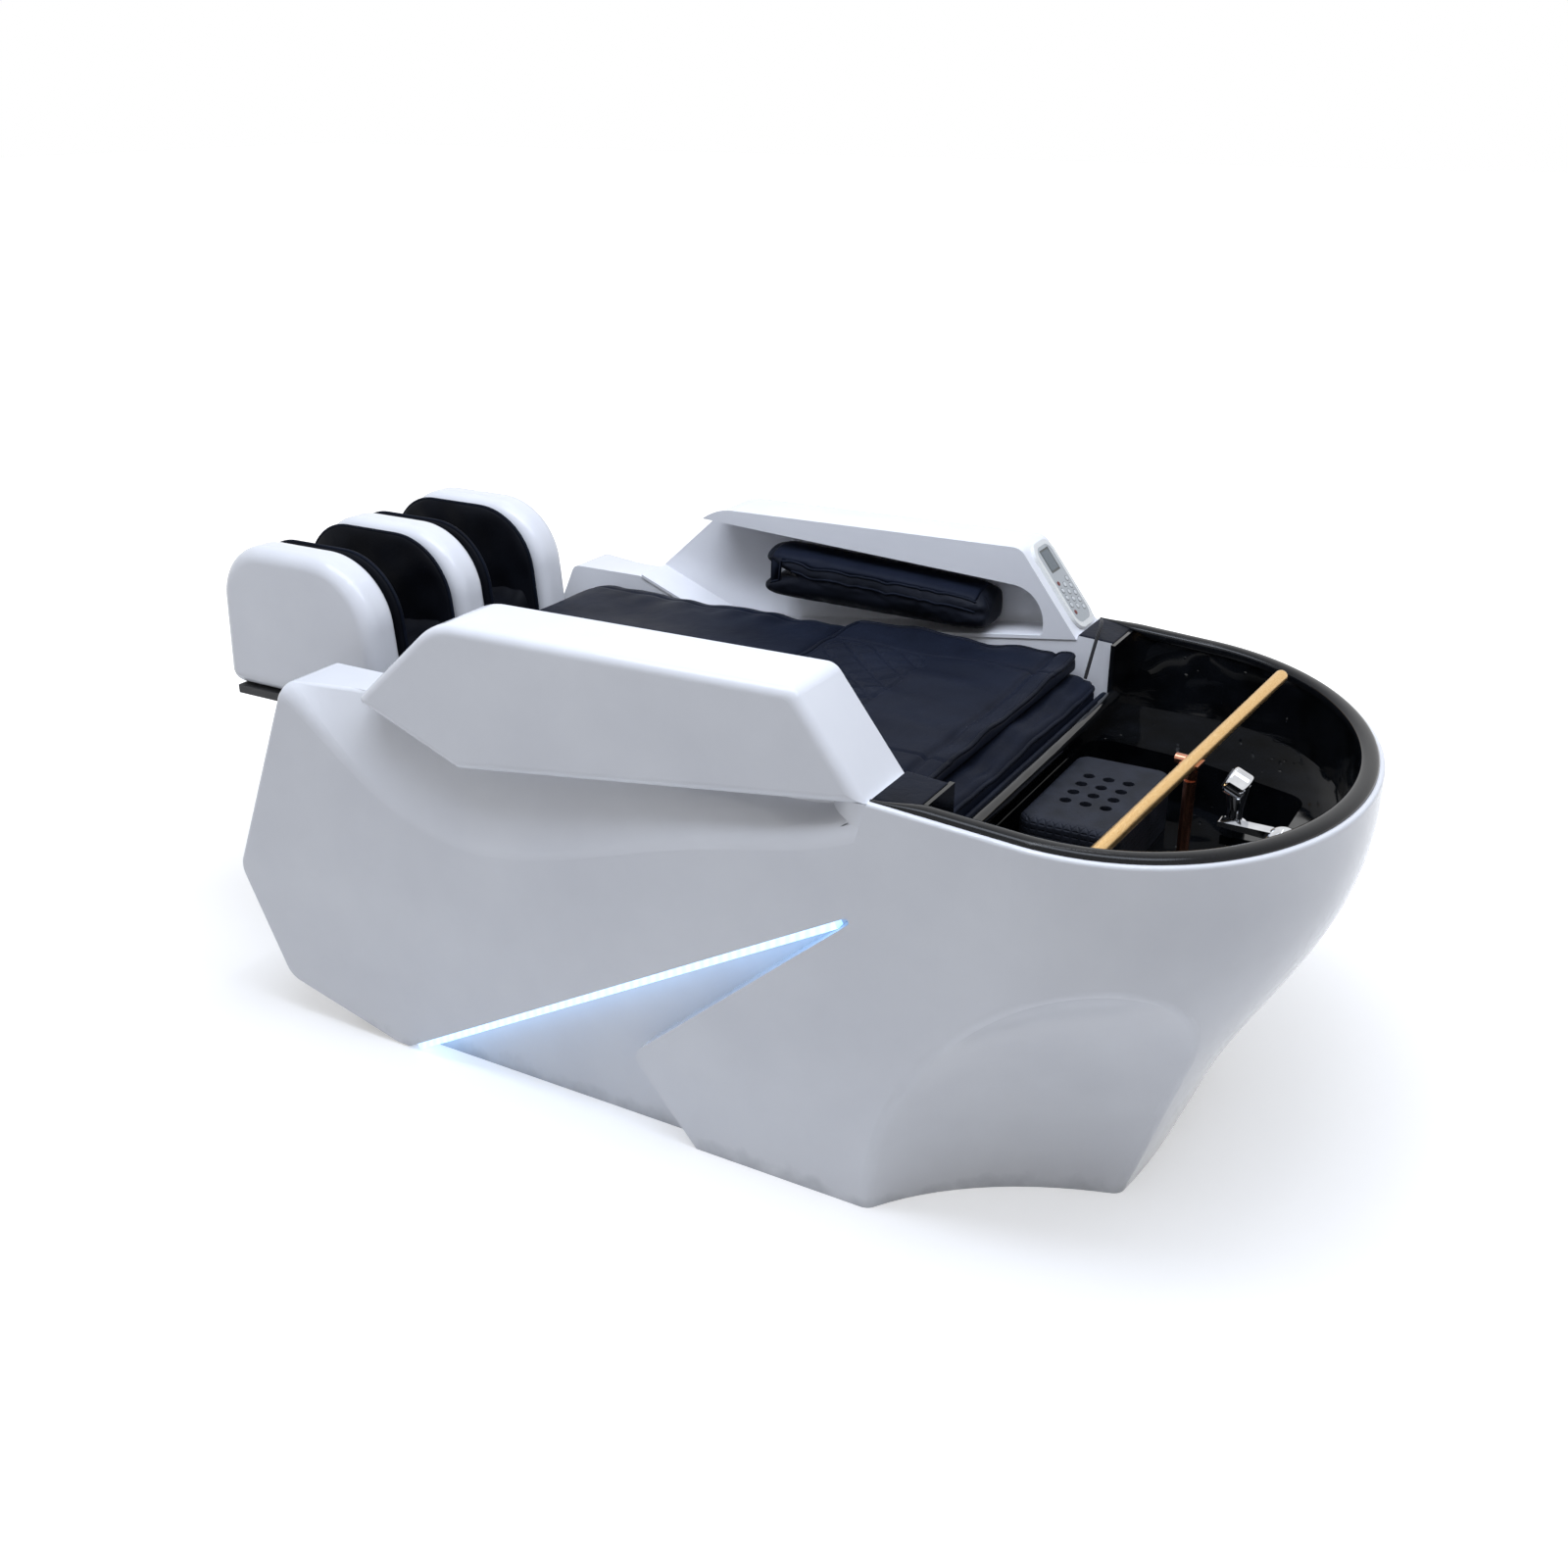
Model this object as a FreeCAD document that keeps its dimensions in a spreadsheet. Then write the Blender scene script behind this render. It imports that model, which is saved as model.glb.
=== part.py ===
"""Head spa unit: a lying wash bed with basin, leg massager, armrests and massage drive.

Frame: millimetres, +X to the head end, +Y to the user's right, +Z up, origin on the floor.
"""
import math
import os
import re

import FreeCAD
import Part
import Sketcher
from FreeCAD import Placement, Rotation, Vector

DIMS = {
    # whole unit
    "half_width": 450, "ground_half_width_step": -17, "wall": 8, "seat_gap": 0.3, "overrun": 60,
    # foot end of the hull, side outline
    "foot_tip_x": -478, "foot_low_x": -713, "foot_low_z": 64, "foot_nose_x": -794, "foot_nose_z": 263,
    "foot_top_x": -630, "foot_top_z_step": -23, "foot_tip_radius": 15, "foot_nose_radius": 40,
    "foot_top_radius": 18,
    # head end of the hull
    "pedestal_end_x": 737, "bowl_end_x": 955, "bowl_centre_x": 604, "rim_start_x": 404,
    "rim_start_z": 648, "rim_end_z_step": -39, "hull_side_radius": 7,
    "crest_radius": 40, "scoop_edge_radius": 20, "rim_edge_radius": 5,
    # scooped flanks, light recess and ledge under the arm
    "scoop_x": 922, "scoop_y_step": 152, "scoop_radius_x": 560, "scoop_radius_y": 409,
    "scoop_radius_z": 537,
    "slot_tip_x": 414, "slot_tip_z": 494, "slot_low_x": 8, "slot_low_z": 137, "slot_ground_x": 120,
    "slot_floor_x": -456,
    "slot_depth": 50, "slot_tip_radius": 5, "slot_low_radius": 25, "ledge_depth": 45,
    "crest_dip_x": -338, "crest_dip_z_step": -144, "crest_front_x": -488, "crest_front_z_step": -60,
    "crest_mid_x": -96, "crest_mid_z_step": -115, "crest_rear_x": 159, "crest_rear_z_step": -20,
    # seat trough and foot bay
    "trough_half_width_step": -120, "trough_end_x": 455, "deck_z_step": -110, "foot_bay_x": -585,
    "foot_bay_z_step": -85,
    "neck_gap_z_step": 41, "deck_slot_front_x": -330, "deck_slot_rear_x": 380, "deck_slot_half_width": 135,
    # armrests
    "arm_tip_x": -475, "arm_top_front_x": -306, "arm_top_front_z_step": -6, "arm_top_rear_x": 294,
    "arm_top_rear_z_step": 142, "arm_end_x": 402, "arm_end_z_step": -7, "arm_low_x": -281,
    "arm_low_z_step": -92,
    "arm_front_radius": 110, "arm_rear_radius": 12, "arm_inner_y_step": -2, "arm_edge_radius": 16,
    "arm_corner_radius": 26,
    "arm_outer_radius": 26, "niche_back_y_step": -40, "niche_front_z_step": -10, "niche_rear_x": 342,
    "niche_rear_z_step": -67, "niche_radius": 62, "niche_floor": 6, "arm_skin": 6,
    # basin
    "basin_wall": 7, "basin_gap": 0.5, "bowl_lip": 24, "bowl_foot_inset": 42, "ledge_z_step": -133,
    "neck_wall_x": 464, "rail_radius": 11, "rail_half_length_step": -8, "well_floor_z_step": -77,
    "well_front_x": 472, "well_mid_x": 650, "well_rear_x": 836, "well_front_half": 236,
    "well_mid_half": 216, "well_rear_half": 150, "well_radius": 40, "tap_deck_x": 826,
    "tap_deck_z_step": 28, "tap_deck_near_y": -320, "tap_deck_far_y": -60,
    "trim_width": 27, "trim_height": 8, "trim_radius": 5, "trim_inset": 8, "strainer_lip": 3,
    # headrest block
    "block_front_x_step": 23.5, "block_length": 152.5, "block_half_width": 134, "block_top_z_step": 11,
    "block_radius": 12, "block_hole_radius": 9, "block_hole_pitch_x": 31, "block_hole_pitch_y": 34,
    # waste
    "drain_x_step": -61, "drain_radius": 30, "drain_pipe_radius": 20, "drain_outlet_x_step": -125,
    "pipe_foot_z": 30, "trap_z_step": -108, "bend_share": 0.45, "strainer_ring_share": 0.6,
    "strainer_hole_share": 0.18, "supply_radius": 7.5, "supply_y": -90, "supply_pitch": 45,
    # spray bar
    "bar_x": 699, "bar_z_step": -45, "bar_radius": 10.5, "bar_half_length_step": -115, "bar_yaw": -7,
    "bar_rise": 5.5,
    "union_radius": 14, "union_length": 26, "stem_radius": 9, "stub_radius": 8, "stub_length": 24,
    # mixer and handset
    "mixer_x_step": 40, "mixer_side_share": 0.32222, "mixer_flange_radius": 26, "mixer_flange": 4,
    "mixer_neck_radius": 15,
    "mixer_neck_top": 12, "mixer_pivot": 28, "mixer_stem_radius": 11, "mixer_dome_radius": 25,
    "mixer_dome_wall": 4, "mixer_pin_radius": 3, "lever_length": 86, "lever_width": 20,
    "lever_thickness": 7, "lever_rise": 12, "lever_root_share": 0.6, "lever_taper_share": 2.6,
    "handset_x_step": -41, "handset_y": -80, "handset_foot_z_step": 2, "handset_length": 72,
    "handset_grip_radius": 11, "handset_head_radius": 20, "handset_head_length": 30,
    "handset_flare_share": 0.5, "handset_nod_share": 0.45, "spray_face_share": 0.7,
    "holder_radius": 17, "holder_height": 14, "fit_gap": 0.2, "hose_radius": 7,
    # keypad on the far armrest
    "keypad_length": 164, "keypad_width": 78, "keypad_thickness": 6, "keypad_y_step": -61,
    "keypad_radius": 26, "overlay_radius": 19,
    "keypad_from_top": 88, "overlay_length": 146, "overlay_width": 61, "overlay_depth": 2,
    "screen_length": 44, "screen_width": 38, "screen_centre": 45, "screen_depth": 1,
    "button_radius": 4.1, "button_pitch": 17, "button_column": 19, "button_first": 5,
    "button_height": 2.2, "button_gap": 0.15,
    "button_row_share": 0.82, "button_sink_share": 0.55, "button_bevel_share": 0.8, "overlay_lift_share": 0.8,
    # cushions
    "seat_front_x": -566, "seat_rear_x": 0, "seat_top_z_step": 103, "cushion_half_width_step": -8,
    "cushion_inset": 26, "cushion_radius": 40, "cushion_crown": 4, "cushion_swell_share": 0.25,
    "cushion_draw_share": 0.7, "back_rear_x": 452,
    "back_top_z_step": 79,
    "pad_front_x": 4, "pad_rear_x": 414, "pad_top_z_step": 28, "pad_half_width_step": -10, "pad_inset": 14,
    # arm airbags
    "airbag_front_x": -192, "airbag_rear_x": 253, "airbag_inner_y_step": -114, "airbag_front_top_step": -38,
    "airbag_front_mouth_step": -38, "airbag_front_low_step": -89, "airbag_rear_top_step": -12,
    "airbag_rear_mouth_step": -35,
    "airbag_rear_low_step": -72, "airbag_mouth": 12, "airbag_radius": 13,
    # light strips
    "strip_width": 11, "strip_depth": 16, "strip_tip_gap": 66, "strip_foot_gap": 26, "strip_sink": 2,
    # steel frame
    "tube": 30, "frame_half_width": 240, "frame_front_x": -440, "frame_rear_x": 410, "frame_z": 40,
    "foot_pad_radius": 28, "foot_pad_height": 10, "foot_stud_radius": 6,
    # massage drive
    "rail_rod_radius": 8, "rail_rod_y": 105, "rail_rod_z_step": -95, "screw_radius": 7,
    "screw_z_step": -135,
    "carriage_length": 150, "carriage_half_width": 125, "carriage_height": 36,
    "carriage_window_length": 126, "carriage_window_half": 88, "cheek_thickness": 14, "shaft_z_step": -63,
    "shaft_radius": 9, "roller_radius": 40, "roller_width": 26, "roller_offset": 14, "roller_y": 45,
    "nut_block": 30, "bore_gap": 0.1,
    # cases inside the hull
    "control_length": 180, "control_width": 130, "control_height": 70, "control_x": -300,
    "pump_length": 150, "pump_radius": 45, "pump_x": -60, "heater_radius": 80, "heater_length": 220,
    "heater_x": 160, "cradle_width_share": 1.4, "cradle_height_share": 0.6,
    # leg massager
    "leg_front_x": -955, "leg_rear_x": -592, "leg_base_z_step": -2, "leg_top_z_step": 258,
    "leg_top_front_x": -940,
    "leg_top_rear_x": -614, "leg_front_radius": 105, "leg_rear_radius": 125, "leg_foot_radius": 27,
    "fin_share": 0.32, "fin_pitch_step": -98, "fin_edge": 26, "liner_inset": 8, "liner_side_share": 0.34,
    "liner_floor_z_step": 91, "liner_round_share": 0.82, "tray_thickness": 15, "tray_inset": 24,
    "hinge_x": -608, "hinge_z_step": -37, "hinge_pin_radius": 8, "hinge_pin_half": 190,
    "knuckle_radius": 16,
    "knuckle_width": 50, "knuckle_y": 150, "ear_width": 16, "ear_gap": 1,
    # strap from the back pad to the rim
    "strap_radius": 3, "strap_foot_x": 438, "strap_foot_y_step": -22, "strap_foot_z_step": 4,
    "strap_bend_x": 446,
    "strap_bend_y_step": -6, "strap_bend_z_step": 80, "strap_end_x": 424, "strap_end_y_step": -66,
    "strap_end_z_step": 17.3,
    # hose route in the basin
    "hose_drop_z_step": 62, "hose_knee_x_step": -20, "hose_knee_y": -110, "hose_knee_z_step": 27,
    "hose_turn_x_step": -69,
    "hose_turn_y": -172, "hose_low_z_step": 14, "hose_run_x": 600, "hose_run_y": -182, "hose_end_y": -182,
    "grommet_radius": 12, "grommet_length": 16,
    # supply tails
    "tail_top_x_step": -38, "tail_top_y": -175, "tail_knee_z_step": -38, "tail_low_z_step": -70,
    "tail_step_x": 45,
    "tail_step_y": 30,
}

# sizes written as a step from the size that they follow
FOLLOWS = {
    "ground_half_width": "half_width", "foot_top_z": "rim_start_z", "rim_end_z": "rim_start_z",
    "scoop_y": "half_width", "crest_dip_z": "arm_low_z", "crest_front_z": "arm_low_z",
    "crest_mid_z": "arm_low_z", "crest_rear_z": "arm_low_z", "trough_half_width": "half_width",
    "deck_z": "foot_top_z", "foot_bay_z": "deck_z", "neck_gap_z": "deck_z",
    "arm_top_front_z": "arm_top_rear_z", "arm_top_rear_z": "arm_end_z", "arm_end_z": "rim_start_z",
    "arm_low_z": "arm_end_z", "arm_inner_y": "trough_half_width", "niche_back_y": "half_width",
    "niche_front_z": "arm_top_front_z", "niche_rear_z": "arm_top_rear_z", "ledge_z": "rim_start_z",
    "rail_half_length": "trough_half_width", "well_floor_z": "ledge_z", "tap_deck_z": "ledge_z",
    "block_top_z": "ledge_z", "trap_z": "well_floor_z", "bar_z": "rim_start_z",
    "bar_half_length": "half_width", "handset_foot_z": "tap_deck_z", "keypad_y": "half_width",
    "seat_top_z": "deck_z", "cushion_half_width": "trough_half_width", "back_top_z": "deck_z",
    "pad_top_z": "back_top_z", "pad_half_width": "cushion_half_width", "airbag_inner_y": "niche_back_y",
    "airbag_front_top": "niche_front_z", "airbag_front_mouth": "airbag_front_top",
    "airbag_front_low": "airbag_front_top", "airbag_rear_top": "niche_rear_z",
    "airbag_rear_mouth": "airbag_rear_top", "airbag_rear_low": "airbag_rear_top", "rail_rod_z": "deck_z",
    "screw_z": "deck_z", "shaft_z": "deck_z", "leg_base_z": "deck_z", "leg_top_z": "leg_base_z",
    "fin_pitch": "trough_half_width", "liner_floor_z": "leg_base_z", "hinge_z": "leg_base_z",
    "strap_foot_y": "cushion_half_width", "strap_foot_z": "back_top_z",
    "strap_bend_y": "cushion_half_width", "strap_bend_z": "back_top_z", "strap_end_y": "half_width",
    "strap_end_z": "arm_end_z", "hose_drop_z": "well_floor_z", "hose_knee_z": "well_floor_z",
    "hose_low_z": "well_floor_z", "tail_knee_z": "well_floor_z", "tail_low_z": "well_floor_z",
    "drain_x": "well_rear_x", "drain_outlet_x": "drain_x", "mixer_x": "tap_deck_x", "handset_x": "tap_deck_x",
    "block_front_x": "neck_wall_x", "hose_knee_x": "handset_x", "hose_turn_x": "handset_x", "tail_top_x": "mixer_x",
}

# shares of the rim height and of the step from pedestal end to bowl end
HEAD_LEVEL_SHARES = (-0.08, 0, 0.13, 0.26, 0.39, 0.51, 0.65, 0.80, 0.93, 1.10)
HEAD_REACH_SHARES = (-0.07, 0, 0.14, 0.29, 0.48, 0.68, 0.88, 0.99, 1.0, 1.0)

doc = FreeCAD.newDocument("head_spa_unit")
sheet = doc.addObject("Spreadsheet::Sheet", "dims")
for row, (alias, value) in enumerate(DIMS.items(), start=1):
    sheet.set(f"A{row}", alias)
    sheet.set(f"B{row}", str(value))
    sheet.setAlias(f"B{row}", alias)
doc.recompute()

parts = []
SIDES = {"left": -1, "right": 1}


class Sheet:
    """The sheet's cells as plain numbers, for shapes that Part's functions make."""

    def __getattr__(self, alias):
        if alias in FOLLOWS:
            return getattr(self, FOLLOWS[alias]) + getattr(self, f"{alias}_step")
        return float(sheet.get(sheet.getCellFromAlias(alias)))


S = Sheet()


def spelled(match):
    """One size of an expression, as its own cell or as its step on the size that it follows."""
    alias = match.group(1)
    if alias in FOLLOWS:
        return f"({formula('dims.' + FOLLOWS[alias])} + dims.{alias}_step)"
    return match.group(0)


def formula(expression):
    """An expression with every size spelled out in the sheet's cells."""
    return re.sub(r"dims\.(\w+)", spelled, expression)


def keep(label, obj):
    """Give a sub-part its Label and list it for export."""
    obj.Label = label
    parts.append(obj)
    return obj


def feature(label, shape):
    """A sub-part whose shape Part's functions made."""
    obj = doc.addObject("Part::Feature", label)
    obj.Shape = shape
    return keep(label, obj)


def bind(obj, **expressions):
    """Tie properties of an object to the sheet; a double underscore stands for a dot."""
    for name, expression in expressions.items():
        obj.setExpression(name.replace("__", "."), formula(expression))
    return obj


def place(obj, x="0", y="0", z="0"):
    """Tie the position of an object to the sheet."""
    obj.setExpression("Placement.Base.x", formula(x))
    obj.setExpression("Placement.Base.y", formula(y))
    obj.setExpression("Placement.Base.z", formula(z))
    return obj


def box(name, length, width, height, x, y, z):
    """Part box tied to the sheet by its sizes and lowest corner."""
    obj = doc.addObject("Part::Box", name)
    return place(bind(obj, Length=length, Width=width, Height=height), x, y, z)


def rod(name, radius, height, x, y, z, turn=None):
    """Part cylinder tied to the sheet, standing on its foot point or turned to an axis."""
    obj = doc.addObject("Part::Cylinder", name)
    if turn is not None:
        obj.Placement = Placement(Vector(), turn)
    return place(bind(obj, Radius=radius, Height=height), x, y, z)


ALONG_X = Rotation(Vector(0, 0, 1), Vector(1, 0, 0))
ALONG_Y = Rotation(Vector(0, 0, 1), Vector(0, 1, 0))


def fuse(name, shapes):
    """Union of document objects."""
    obj = doc.addObject("Part::MultiFuse", name)
    obj.Shapes = shapes
    return obj


def rounded_wire(points, radii):
    """Closed wire through corner points, each corner turned on its own radius."""
    edges = []
    corners = []
    for index, corner in enumerate(points):
        before = (points[index - 1] - corner).normalize()
        after = (points[(index + 1) % len(points)] - corner).normalize()
        half = before.getAngle(after) / 2
        reach = radii[index] / math.tan(half)
        middle = (before + after).normalize() * (radii[index] / math.sin(half) - radii[index])
        corners.append((corner + before * reach, corner + middle, corner + after * reach))
    for index, (start, middle, end) in enumerate(corners):
        last_end = corners[index - 1][2]
        if start.distanceToPoint(last_end) > 1e-6:
            edges.append(Part.LineSegment(last_end, start).toShape())
        if radii[index] > 0:
            edges.append(Part.Arc(start, middle, end).toShape())
    return Part.Wire(edges)


def side_points(pairs):
    """Points of an outline drawn in the XZ plane."""
    return [Vector(x, 0, z) for x, z in pairs]


def prism_y(face, y_low, y_high):
    """Face in the XZ plane carried from one Y to another."""
    moved = face.copy()
    moved.translate(Vector(0, y_low, 0))
    return moved.extrude(Vector(0, y_high - y_low, 0))


def block(x0, x1, y0, y1, z0, z1):
    """Box between two corners."""
    return Part.makeBox(x1 - x0, y1 - y0, z1 - z0, Vector(x0, y0, z0))


def rim_height(x):
    """Height of the sloping rim plane."""
    share = (x - S.rim_start_x) / (S.bowl_end_x - S.rim_start_x)
    return S.rim_start_z + share * (S.rim_end_z - S.rim_start_z)


def arm_foot_height(x):
    """Height of the armrest's lower edge behind its lowest corner."""
    return S.arm_low_z + (x - S.arm_low_x) / (S.arm_end_x - S.arm_low_x) * (S.arm_end_z - S.arm_low_z)


def head_outline(start_x, inset, height, half_width=None, end_x=None):
    """Closed plan outline of the head end at one height, drawn in by an inset."""
    half = (S.half_width if half_width is None else half_width) - inset
    end = (S.bowl_end_x if end_x is None else end_x) - inset
    reach = end - S.bowl_centre_x
    matrix = FreeCAD.Matrix()
    matrix.scale(Vector(reach, half, 1))
    unit = Part.Arc(Vector(0, -1, 0), Vector(1, 0, 0), Vector(0, 1, 0)).toShape()
    curve = unit.transformGeometry(matrix)
    curve.translate(Vector(S.bowl_centre_x, 0, height))
    near = Vector(start_x, -half, height)
    far = Vector(start_x, half, height)
    near_turn = Vector(S.bowl_centre_x, -half, height)
    far_turn = Vector(S.bowl_centre_x, half, height)
    edges = [Part.LineSegment(near, near_turn).toShape(), curve,
             Part.LineSegment(far_turn, far).toShape(), Part.LineSegment(far, near).toShape()]
    return Part.Wire(edges)


def hull_plan(inset):
    """Loft of plan outlines that swells from the pedestal to the bowl."""
    wires = []
    for level, reach in zip(HEAD_LEVEL_SHARES, HEAD_REACH_SHARES):
        half = S.ground_half_width + level * (S.half_width - S.ground_half_width)
        end = S.pedestal_end_x + reach * (S.bowl_end_x - S.pedestal_end_x)
        wires.append(head_outline(S.foot_nose_x - S.overrun, inset, level * S.rim_start_z, half, end))
    return Part.makeLoft(wires, True, False)


def hull_side(inset):
    """Side outline of the hull as a prism across the whole width."""
    far_x = S.bowl_end_x + S.overrun
    floor = -inset * 2
    pairs = [(S.foot_tip_x, floor), (S.foot_low_x, S.foot_low_z), (S.foot_nose_x, S.foot_nose_z),
             (S.foot_top_x, S.foot_top_z), (S.arm_tip_x, S.foot_top_z), (S.arm_low_x, S.arm_low_z),
             (S.arm_end_x, S.arm_end_z), (S.rim_start_x, S.rim_start_z), (far_x, rim_height(far_x)),
             (far_x, floor)]
    radii = [S.foot_tip_radius, S.foot_nose_radius, S.foot_nose_radius, S.foot_top_radius] + [0] * 6
    face = Part.Face(rounded_wire(side_points(pairs), radii))
    if inset:
        face = face.makeOffset2D(-inset, 2)
    return prism_y(face, -S.half_width - S.overrun, S.half_width + S.overrun)


def scoop(side, grow):
    """Ellipsoid that hollows one flank of the pedestal."""
    matrix = FreeCAD.Matrix()
    matrix.scale(Vector(S.scoop_radius_x + grow, S.scoop_radius_y + grow, S.scoop_radius_z + grow))
    shape = Part.makeSphere(1).transformGeometry(matrix)
    shape.translate(Vector(S.scoop_x, side * S.scoop_y, 0))
    return shape


def slot_face():
    """Outline of the light recess, open at the floor."""
    run = S.slot_tip_x - S.slot_floor_x
    drop = S.overrun * run / S.slot_tip_z
    pairs = [(S.slot_tip_x, S.slot_tip_z), (S.slot_floor_x - drop, -S.overrun),
             (S.slot_ground_x + S.overrun, -S.overrun), (S.slot_ground_x, 0), (S.slot_low_x, S.slot_low_z)]
    radii = [S.slot_tip_radius, 0, 0, S.slot_low_radius, S.slot_low_radius]
    return Part.Face(rounded_wire(side_points(pairs), radii))


def slot(side, grow):
    """Light recess tool for one side."""
    face = slot_face()
    if grow:
        face = face.makeOffset2D(grow, 2)
    inner = S.half_width - S.slot_depth - grow
    outer = S.half_width + S.overrun
    return prism_y(face, side * inner, side * outer)


def ledge(side, grow):
    """Tool for the slanting ledge under one armrest: triangles carried along the crest."""
    crest = [(S.foot_top_x, S.foot_top_z), (S.crest_front_x, S.crest_front_z),
             (S.crest_dip_x, S.crest_dip_z), (S.crest_mid_x, S.crest_mid_z),
             (S.crest_rear_x, S.crest_rear_z), (S.arm_end_x, S.arm_end_z)]
    wires = []
    for x, z in crest:
        top = max(arm_foot_height(x), z)
        if x < S.arm_low_x:
            share = (S.arm_low_x - x) / (S.arm_low_x - S.arm_tip_x)
            top = min(S.arm_low_z + share * (S.foot_top_z - S.arm_low_z), S.foot_top_z)
        slope = (top - z) / S.ledge_depth
        sink = grow * math.hypot(1, slope)
        inner = side * (S.half_width - S.ledge_depth - grow)
        outer = side * (S.half_width + S.ledge_depth)
        high = top + slope * grow - sink
        low = top - 2 * slope * S.ledge_depth - sink
        points = [Vector(x, inner, high), Vector(x, outer, low), Vector(x, outer, top + S.overrun),
                  Vector(x, inner, top + S.overrun)]
        wires.append(Part.makePolygon(points + points[:1]))
    return Part.makeLoft(wires, True, False)


def trough(grow):
    """Seat trough with the deeper bay for the leg massager."""
    half = S.trough_half_width + grow
    top = S.foot_top_z + 3 * S.overrun
    front = S.foot_nose_x - 2 * S.overrun
    seat = block(front, S.trough_end_x + grow, -half, half, S.deck_z - grow, top)
    bay = block(front, S.foot_bay_x + grow, -half, half, S.foot_bay_z - grow, top)
    return seat.fuse(bay)


def hull_form(inset):
    """Hull body at a given inset, before the head end is opened."""
    shape = hull_side(inset).common(hull_plan(inset))
    tools = [trough(inset)]
    for side in SIDES.values():
        tools += [scoop(side, inset), slot(side, inset), ledge(side, inset)]
    return shape.cut(tools)


def edge_middle(edge):
    """Point half-way along an edge."""
    return edge.valueAt((edge.FirstParameter + edge.LastParameter) / 2)


def on_scoop(point):
    """True for a point on the scoop's ellipsoid."""
    across = (point.x - S.scoop_x) / S.scoop_radius_x
    aside = (abs(point.y) - S.scoop_y) / S.scoop_radius_y
    return abs(across ** 2 + aside ** 2 + (point.z / S.scoop_radius_z) ** 2 - 1) < 0.001


def is_crest(edge):
    """True for the long soft edge of the ledge under an armrest."""
    outside = abs(edge.CenterOfMass.y) > S.half_width - S.ledge_depth / 2
    return outside and edge.Length > S.arm_end_x - S.foot_top_x


def is_scoop_edge(edge):
    """True for the creases where a scoop meets the side and the end face."""
    middle = edge_middle(edge)
    return middle.z > S.overrun and on_scoop(middle)


def is_foot_edge(edge):
    """True for the corners between the side and the foot end's facets."""
    middle = edge_middle(edge)
    outside = abs(middle.y) > S.ground_half_width - S.wall
    return outside and middle.x < S.foot_tip_x and S.wall < middle.z < S.foot_top_z - S.foot_top_radius


def is_rim_edge(edge):
    """True for the outer edge of the rim plane round the bowl."""
    middle = edge_middle(edge)
    level = abs(middle.z - rim_height(middle.x)) < S.seat_gap
    outside = abs(middle.y) > S.half_width - S.wall or middle.x > S.bowl_centre_x
    return level and outside and middle.x > S.rim_start_x + S.wall


def soften(shape):
    """Round the hull's crest, scoop creases, foot corners and rim."""
    for test, radius in ((is_crest, S.crest_radius), (is_scoop_edge, S.scoop_edge_radius),
                         (is_foot_edge, S.hull_side_radius), (is_rim_edge, S.rim_edge_radius)):
        shape = shape.makeFillet(radius, [edge for edge in shape.Edges if test(edge)])
    return shape


def outer_hull():
    """Glass-fibre hull: outer form less the inner form, open below and at the basin."""
    head = S.trough_end_x + S.wall
    top = S.rim_start_z + S.overrun
    bay = hull_plan(S.wall).common(block(head, S.bowl_end_x, -S.half_width, S.half_width,
                                         S.foot_bay_z, top))
    neck = block(S.trough_end_x - S.overrun, head + S.overrun, -S.trough_half_width,
                 S.trough_half_width, S.neck_gap_z, top)
    drive = block(S.deck_slot_front_x, S.deck_slot_rear_x, -S.deck_slot_half_width,
                  S.deck_slot_half_width, S.deck_z - S.overrun, S.deck_z + S.overrun)
    return soften(hull_form(0)).cut([hull_form(S.wall), bay, neck, drive])


def armrest(side):
    """Armrest shell: slanting bar and post with an inner niche, hollow from below."""
    pairs = [(S.arm_tip_x, S.foot_top_z), (S.arm_top_front_x, S.arm_top_front_z),
             (S.arm_top_rear_x, S.arm_top_rear_z), (S.arm_end_x, S.arm_end_z), (S.arm_low_x, S.arm_low_z)]
    radii = [S.arm_rear_radius / 2, S.arm_front_radius, S.arm_corner_radius, 0, S.arm_rear_radius]
    face = Part.Face(rounded_wire(side_points(pairs), radii))
    outer = side * S.half_width
    shape = prism_y(face, side * S.arm_inner_y, outer)
    rim = [edge for edge in shape.Edges if abs(edge.CenterOfMass.y - outer) < S.seat_gap
           and edge.CenterOfMass.z > S.foot_top_z + S.arm_outer_radius]
    shape = shape.makeFillet(S.arm_edge_radius, rim)
    front = S.arm_tip_x - S.overrun
    slope = (S.foot_top_z - S.arm_low_z) / (S.arm_low_x - S.arm_tip_x)
    floor = S.arm_low_z + S.niche_floor
    niche = [(front, S.niche_front_z), (S.niche_rear_x, S.niche_rear_z),
             (S.niche_rear_x, arm_foot_height(S.niche_rear_x) + S.niche_floor), (S.arm_low_x, floor),
             (front, floor + slope * (S.arm_low_x - front))]
    niche_face = Part.Face(rounded_wire(side_points(niche), [0, S.niche_radius, S.arm_rear_radius / 2, 0, 0]))
    niche_tool = prism_y(niche_face, side * (S.arm_inner_y - S.overrun), side * S.niche_back_y)
    hollow_face = face.makeOffset2D(-S.arm_skin, 2)
    hollow = prism_y(hollow_face, side * (S.niche_back_y + S.arm_skin), side * (S.half_width - S.arm_skin))
    lowered = hollow.copy()
    lowered.translate(Vector(0, 0, -2 * S.arm_skin))
    shape = shape.cut([niche_tool, hollow, lowered])
    shape.translate(Vector(0, 0, S.seat_gap))
    return shape


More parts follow.
